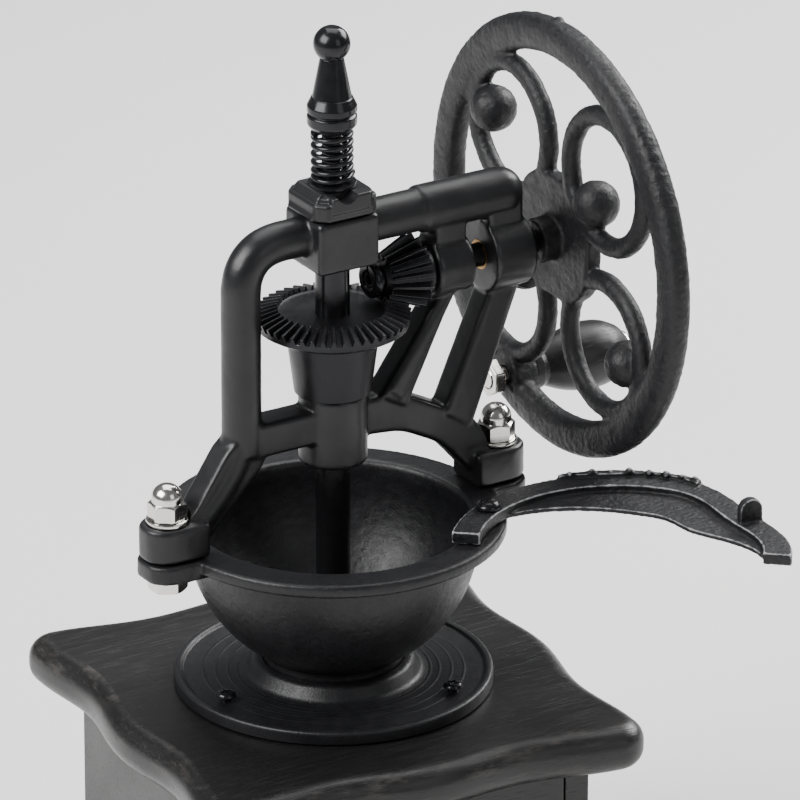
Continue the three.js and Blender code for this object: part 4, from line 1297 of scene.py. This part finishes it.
class GRINDER_OT_saddle_cap(bpy.types.Operator):
    """Add the folded cap on the saddle"""

    bl_idname = "grinder.saddle_cap"
    bl_label = "Saddle cap"

    def execute(self, context):
        half = CAP_HALF
        c = 3.0
        outline = [
            (half, -half + c), (half, half - c), (half - c, half), (-half + c, half),
            (-half, half - c), (-half, -half + c), (-half + c, -half), (half - c, -half),
        ]
        base = slab(outline, CAP_LOW, CAP_TOP - 1.6, 0.9)
        crown = slab([(x * 0.86, y * 0.86) for x, y in outline], CAP_TOP - 3, CAP_TOP, 0.8)
        flap_side = [
            (-half - 0.9, CAP_LOW + 0.2, 1), (-half + 2, CAP_LOW + 0.2, 0), (-half + 5.4, CAP_TOP + 0.5, 1),
            (-half + 2.2, CAP_TOP + 0.9, 1.6),
        ]
        flap = upright(filleted(flap_side, 0), 13.4, 0.7)
        curl_side = [
            (half - 5.5, CAP_TOP - 1), (half - 0.6, CAP_TOP - 1, 0.5),
            (half + 0.3, CAP_TOP + 1.4, 1.2), (half - 3, CAP_TOP + 1.2, 1),
        ]
        curl = moved(upright(filleted(curl_side, 0), 4.2, 0.5), y=half - 4.4)
        fold_outline = [
            (-half + 4, -half - 0.6, 0), (half - 3, -half - 0.6, 2.6),
            (half - 2, -half + 4, 1), (-half + 4, -half + 4, 0),
        ]
        fold = slab(filleted(fold_outline, 0), CAP_LOW + 2.4, CAP_TOP + 0.4, 0.5)
        bite = moved(rotated(rod(3.6, -4, 4), math.pi / 2, "X"), -1.2, -half, CAP_TOP + 1.6)
        bore = rod(5.1, CAP_LOW - 1, CAP_TOP + 3, 64)
        mesh = cast("cap", [base, crown, flap, curl, fold], 0.28, 2, [bore, bite])
        hand_in(mesh, "cap", ["saddle_cap"], painted("satin_iron"), 42, crisp=False)
        return {"FINISHED"}


# ---- spindle, adjuster and gears -----------------------------------------


class GRINDER_OT_spindle(bpy.types.Operator):
    """Add the spindle, its bushes and the spring's seat"""

    bl_idname = "grinder.spindle"
    bl_label = "Spindle"

    def execute(self, context):
        low, high = span("spindle", Z)
        burr_low = span("inner_burr", Z)[0]
        outline = [(0, low), *threaded(3, low, burr_low - GAP), (5, burr_low - GAP, 0.5)]
        outline += [(5, CAP_TOP - 1, 0.6), (3, CAP_TOP), *threaded(3, CAP_TOP + 0.5, high - 0.6), (0, high)]
        spindle = turned(open_fillet(outline, 3), 64)
        hand_in(as_mesh(spindle), "upright_shaft", ["spindle"], painted("black_steel"))
        for node, name in (("spindle_bush_lower", "bush_low"), ("spindle_bush_upper", "bush_high")):
            bush = sleeve(5.05, 6, *span(node, Z), 0.2)
            hand_in(as_mesh(bush), name, [node], painted("bronze"))
        seat = sleeve(3.05, 7, *span("spring_seat", Z), 0.35, 72)
        hand_in(as_mesh(seat), "spring_ring", ["spring_seat"], painted("black_steel"))
        return {"FINISHED"}


class GRINDER_OT_adjuster(bpy.types.Operator):
    """Add the coil spring and the ball-topped finial that screws down on it"""

    bl_idname = "grinder.adjuster"
    bl_label = "Adjuster"

    def execute(self, context):
        sizes = context.scene.grinder_sizes
        self.spring(in_mm(sizes.wire))
        self.finial()
        return {"FINISHED"}

    def spring(self, wire):
        """Six turns, the first and last of them closed."""
        radius = span("adjuster_spring", X)[1] - wire
        turns = 6.5
        steps = int(turns * 40)
        low, high = SPRING_LOW + wire, SPRING_TOP - wire
        points = []
        for i in range(steps + 1):
            t = i / steps
            rise = min(max((t - 0.1) / 0.8, 0), 1)
            closed = 0.06 * t + 0.94 * rise
            a = TAU * turns * t
            points.append((radius * math.cos(a), radius * math.sin(a), low + (high - low) * closed))
        coil = swept(points, wire, 20)
        paint = painted("black_steel")
        hand_in(as_mesh(coil), "coil_spring", ["adjuster_spring"], paint, crisp=False)

    def finial(self):
        n = FINIAL_LOW
        ball_z = n + 26.1
        radius = 5.35
        outline = [
            (3.05, n), (5.6, n, 0.3), (7.2, n + 2.0, 0.5), (7.2, n + 4.6, 0.35), (6.4, n + 5.2, 0.2),
            (7.2, n + 5.8, 0.35), (7.2, n + 7.6, 0.3), (6.0, n + 10.0, 0.3), (5.7, n + 10.1, 0.2), (3.4, n + 22.2, 0.5),
        ]
        outline = open_fillet([(3.05, n + 20.5, 0), *outline])
        neck = math.degrees(math.acos(3.3 / radius))
        flat = math.degrees(math.acos(1.9 / radius))
        outline += arc(radius, (0, ball_z), -neck, flat, 26)
        outline += [(0, outline[-1][1]), (0, n + 20.5), (3.05, n + 20.5)]
        finial = turned(outline, 96)
        hand_in(as_mesh(finial), "finial", ["adjuster_finial"], painted("black_steel"), 40)


class GRINDER_OT_gears(bpy.types.Operator):
    """Add the large bevel gear and its pinion, with softened teeth whose edges are marked for a painted highlight"""

    bl_idname = "grinder.gears"
    bl_label = "Gears"

    def execute(self, context):
        for node, name in (("bevel_gear", "crown_gear"), ("bevel_pinion", "pinion")):
            gear = edges_for_wear_and_highlight(cad_copy(node), 0.13, 1, 32)
            hand_in(as_mesh(gear), name, [node], painted("gear_steel"), 30)
        for node, name in (("inner_burr", "burr_cone"), ("outer_burr", "burr_ring")):
            burr = edges_for_wear_and_highlight(cad_copy(node), 0.12, 1, 28)
            hand_in(as_mesh(burr), name, [node], painted("gear_steel"), 30)
        nut = edges_for_wear_and_highlight(cad_copy("burr_nut"), 0.3, 2, 40)
        hand_in(as_mesh(nut), "under_nut", ["burr_nut"], painted("steel"), 30)
        return {"FINISHED"}


# ---- flywheel ------------------------------------------------------------



def on_axle(bm):
    """Stands a piece drawn flat, its axle up, on the flywheel's shaft: drawn x is Y, drawn y is Z."""
    basis = Matrix(((0, 0, 1, WHEEL_X), (1, 0, 0, 0), (0, 1, 0, SHAFT_Z), (0, 0, 0, 1)))
    bmesh.ops.transform(bm, matrix=basis, verts=bm.verts)
    return bm


def hoop(radius, half_width, half_depth, steps=120, sides=28, square=2.0):
    """A ring about Z whose section is an oval, or a squarer shape above 2."""
    section = []
    for i in range(sides):
        a = TAU * i / sides
        c, s = math.cos(a), math.sin(a)
        reach = (abs(c) ** square + abs(s) ** square) ** (-1 / square)
        section.append((radius + half_width * c * reach, half_depth * s * reach))
    section.append(section[0])
    return turned(section, steps)


class GRINDER_OT_flywheel(bpy.types.Operator):
    """Add the scrolled cast flywheel"""

    bl_idname = "grinder.flywheel"
    bl_label = "Flywheel"

    def execute(self, context):
        sizes = context.scene.grinder_sizes
        width = in_mm(sizes.rim_width) / 2
        depth = in_mm(sizes.rim_depth) / 2
        ring = in_mm(sizes.ring_radius)
        bar = in_mm(sizes.ring_bar)
        knob = in_mm(sizes.ball_radius)
        ring_at = 36
        parts = [hoop(WHEEL_R - width, width, depth, 160, 32, 2.5)]
        for at, lean in ((45, 9), (135, -55), (225, 189), (315, 125)):
            a = math.radians(at)
            b = math.radians(lean)
            cx, cy = ring_at * math.cos(a), ring_at * math.sin(a)
            parts.append(moved(hoop(ring, bar, bar * 0.92, 72, 20), cx, cy))
            parts.append(ball(knob, cx + 11.2 * math.cos(b), cy + 11.2 * math.sin(b), 0.3, 36))
            stem = [(cx + r * math.cos(b), cy + r * math.sin(b), 0) for r in (12, 16, ring)]
            parts.append(swept(stem, 2.6, 16))
        reach = ring_at - ring + bar
        parts += [
            slab(self.plate(reach), -2.6, 2.6, 0.5),
            rod(6.6, -9, 5, 64),
            turned([(0, -2), (9.4, -2), (9.4, 3.2), (8.8, 3.8), (0, 3.8)], 64),
            moved(rod(7, -depth + 0.5, depth + 0.4), *self.crank()),
            ball(1.7, 2.2, WHEEL_R - 0.5, 0.8, 16),
        ]
        holes = [rod(SHAFT_BORE, -12, 12), moved(rod(ROD_BORE, -12, 12), *self.crank())]
        solids = [on_axle(part) for part in parts]
        bores = [on_axle(hole) for hole in holes]
        mesh = cast("wheel", solids, in_mm(sizes.casting_grid), 3, bores)
        roughened(mesh, 0.16, 1.5, 11)
        roughened(mesh, 0.12, 4.5, 2)
        hand_in(mesh, "wheel", ["flywheel"], painted("rough_iron"), 50, crisp=False)
        return {"FINISHED"}

    def crank(self):
        return CRANK_Y, CRANK_Z - SHAFT_Z

    def plate(self, reach):
        """The centre plate: it reaches out along the diagonals, between the rings it curves in."""
        points = []
        for i in range(72):
            a = TAU * i / 72
            points.append(Vector((math.cos(a), math.sin(a))) * (reach - 0.9 * math.cos(4 * a)))
        return points


class GRINDER_OT_crank(bpy.types.Operator):
    """Add the crank's turned knob, its pin and nut"""

    bl_idname = "grinder.crank"
    bl_label = "Crank"

    def execute(self, context):
        length_mm = KNOB_TO - KNOB_FROM
        outline = [
            (3.05, 0), (6, 0, 0.6), (6.4, 3.0, 1.5), (5.6, 4.2, 1.0), (8.8, 11, 5), (10.4, 19.5, 6), (9.6, 26.5, 5),
            (7, length_mm - 1.2, 2.4), (5.2, length_mm, 0.5), (3.05, length_mm),
        ]
        knob = turned(open_fillet(outline, 6), 96)
        self.place(as_mesh(knob), KNOB_FROM, "crank_grip", "crank_knob", "knob_wood", "black_wood")
        low, high = span("crank_pin", X)
        tip = high - low
        pin = [
            (0, 0), *threaded(3, 0, 6), (3, 6.6, 0.2), (3, tip - 2.5), (5, tip - 2.5, 0.4), (4.6, tip - 1.2, 0.8),
            (2.6, tip - 0.2, 1), (0, tip),
        ]
        mesh = as_mesh(turned(open_fillet(pin), 64))
        mesh = carved(mesh, joined(*recess([(0, 0, 0.7)], 0.45, 6, tip - 1.0, tip + 1)), "DIFFERENCE")
        self.place(mesh, low, "grip_pin", "crank_pin", "nickel", "nickel")
        nut = edges_for_wear_and_highlight(cad_copy("crank_pin_nut"), 0.35, 2, 40)
        hand_in(as_mesh(nut), "pin_nut", ["crank_pin_nut"], painted("nickel"), 30)
        return {"FINISHED"}

    def place(self, mesh, start, name, node, paint, slot):
        mesh.transform(Matrix.Rotation(math.pi / 2, 4, "Y"))
        mesh.transform(Matrix.Translation((start, CRANK_Y, CRANK_Z)))
        hand_in(mesh, name, [node], painted(paint), 40)


class GRINDER_OT_shaft(bpy.types.Operator):
    """Add the flywheel's shaft, its bushes, washer and nut"""

    bl_idname = "grinder.shaft"
    bl_label = "Drive shaft"

    def execute(self, context):
        head = SHAFT_FROM
        outline = [
            (0, head + 1.3), (1.4, head + 1.3), (1.4, head + 0.5, 0.2), (2.5, head + 0.5, 0.2), (2.9, head, 0.3),
            (5.0, head, 0.6), (5.4, head + 0.7, 0.4), (5.4, head + 2.2, 0.4), (3.5, head + 2.8), (3.5, BOSS_B[1] - 2),
            *threaded(3.5, BOSS_B[1] - 1.5, SHAFT_TO - 1), (2.6, SHAFT_TO), (0, SHAFT_TO),
        ]
        shaft = along_x(turned(open_fillet(outline, 3), 64))
        cutter = brick((head - 1, head + 0.7), (-0.5, 0.5), (SHAFT_Z, SHAFT_Z + 6), 0)
        slot = carved(as_mesh(shaft), cutter, "DIFFERENCE")
        hand_in(slot, "cross_shaft", ["drive_shaft"], painted("black_steel"), 40)
        for node, name in (("shaft_bush_inner", "bush_inner"), ("shaft_bush_outer", "bush_outer")):
            bush = along_x(sleeve(3.55, 4.5, *span(node, X), 0.2))
            hand_in(as_mesh(bush), name, [node], painted("bronze"))
        washer = along_x(sleeve(3.55, 7.5, *span("shaft_washer", X), 0.25, 72))
        hand_in(as_mesh(washer), "thrust_ring", ["shaft_washer"], painted("steel"))
        nut = edges_for_wear_and_highlight(cad_copy("wheel_nut"), 0.45, 2, 40)
        hand_in(as_mesh(nut), "axle_nut", ["wheel_nut"], painted("nickel"), 30)
        return {"FINISHED"}


# ---- stage ---------------------------------------------------------------


class GRINDER_OT_stage(bpy.types.Operator):
    """Add the floor, the soft lights and the camera"""

    bl_idname = "grinder.stage"
    bl_label = "Stage"

    def execute(self, context):
        self.floor()
        self.world(context.scene)
        view = context.scene.grinder_view
        aim = self.aim(view)
        side = math.degrees(view.azimuth)
        self.softbox("key", aim, side - 62, 38, 1.3, (1.0, 0.8), 30)
        self.softbox("sweep", aim, side + 128, 32, 1.5, (1.1, 0.7), 38)
        self.softbox("overhead", aim, side + 175, 66, 1.4, (1.2, 1.2), 18)
        self.softbox("fill", aim, side + 42, 22, 2.0, (0.8, 1.2), 4)
        self.camera(context.scene, view, aim)
        return {"FINISHED"}

    def towards(self, azimuth, elevation):
        a, e = math.radians(azimuth), math.radians(elevation)
        return Vector((math.sin(a) * math.cos(e), -math.cos(a) * math.cos(e), math.sin(e)))

    def aim(self, view):
        side = view.aim_side
        return Vector((side * math.cos(view.azimuth), side * math.sin(view.azimuth), view.aim_height))

    def floor(self):
        bm = bmesh.new()
        bmesh.ops.create_grid(bm, x_segments=1, y_segments=1, size=4 / MM)
        mesh = as_mesh(bm, "floor")
        mesh.transform(Matrix.Scale(MM, 4))
        mesh.materials.append(painted("floor"))
        floor = bpy.data.objects.new("floor", mesh)
        bpy.context.scene.collection.objects.link(floor)

    def world(self, scene):
        world = bpy.data.worlds.new("studio")
        world.use_nodes = True
        sky = world.node_tree.nodes["Background"]
        sky.inputs["Color"].default_value = (0.86, 0.89, 0.93, 1)
        sky.inputs["Strength"].default_value = 0.2
        scene.world = world

    def softbox(self, name, aim, azimuth, elevation, distance, size, power):
        light = bpy.data.lights.new(name, "AREA")
        light.shape = "RECTANGLE"
        light.size, light.size_y = size
        light.energy = power
        holder = bpy.data.objects.new(name, light)
        direction = self.towards(azimuth, elevation)
        holder.location = aim + direction * distance
        holder.rotation_euler = direction.to_track_quat("Z", "Y").to_euler()
        bpy.context.scene.collection.objects.link(holder)

    def camera(self, scene, view, aim):
        camera = bpy.data.cameras.new("camera")
        camera.lens = view.lens
        camera.sensor_width = 36
        camera.clip_end = 20
        holder = bpy.data.objects.new("camera", camera)
        direction = self.towards(math.degrees(view.azimuth), math.degrees(view.elevation))
        holder.location = aim + direction * view.distance
        holder.rotation_euler = direction.to_track_quat("Z", "Y").to_euler()
        scene.collection.objects.link(holder)
        scene.camera = holder


# ---- panel and registration ----------------------------------------------

PIECES = (
    GRINDER_OT_stage,
    GRINDER_OT_boards,
    GRINDER_OT_walls,
    GRINDER_OT_drawer,
    GRINDER_OT_base_disc,
    GRINDER_OT_hopper,
    GRINDER_OT_clamps,
    GRINDER_OT_guard,
    GRINDER_OT_bridge,
    GRINDER_OT_saddle_cap,
    GRINDER_OT_spindle,
    GRINDER_OT_adjuster,
    GRINDER_OT_gears,
    GRINDER_OT_flywheel,
    GRINDER_OT_crank,
    GRINDER_OT_shaft,
)


class GRINDER_PT_panel(bpy.types.Panel):
    """Lists the grinder's pieces and sizes"""

    bl_idname = "GRINDER_PT_panel"
    bl_label = "Coffee grinder"
    bl_space_type = "VIEW_3D"
    bl_region_type = "UI"
    bl_category = "Grinder"

    def draw(self, context):
        for piece in PIECES:
            self.layout.operator(piece.bl_idname)
        for group in (context.scene.grinder_sizes, context.scene.grinder_colours, context.scene.grinder_view):
            box = self.layout.box()
            for key in group.bl_rna.properties.keys():
                if key not in ("rna_type", "name"):
                    box.prop(group, key)


GROUPS = {
    "grinder_sizes": GRINDER_PG_sizes,
    "grinder_colours": GRINDER_PG_colours,
    "grinder_view": GRINDER_PG_view,
}


def register():
    for group in (*GROUPS.values(), *PIECES, GRINDER_PT_panel):
        bpy.utils.register_class(group)
    for key, group in GROUPS.items():
        setattr(bpy.types.Scene, key, bpy.props.PointerProperty(type=group))


def unregister():
    for key in GROUPS:
        delattr(bpy.types.Scene, key)
    for group in (GRINDER_PT_panel, *reversed(PIECES), *reversed(GROUPS.values())):
        bpy.utils.unregister_class(group)


def main():
    register()
    for piece in PIECES:
        space, name = piece.bl_idname.split(".")
        getattr(getattr(bpy.ops, space), name)()


if __name__ == "__main__":
    main()
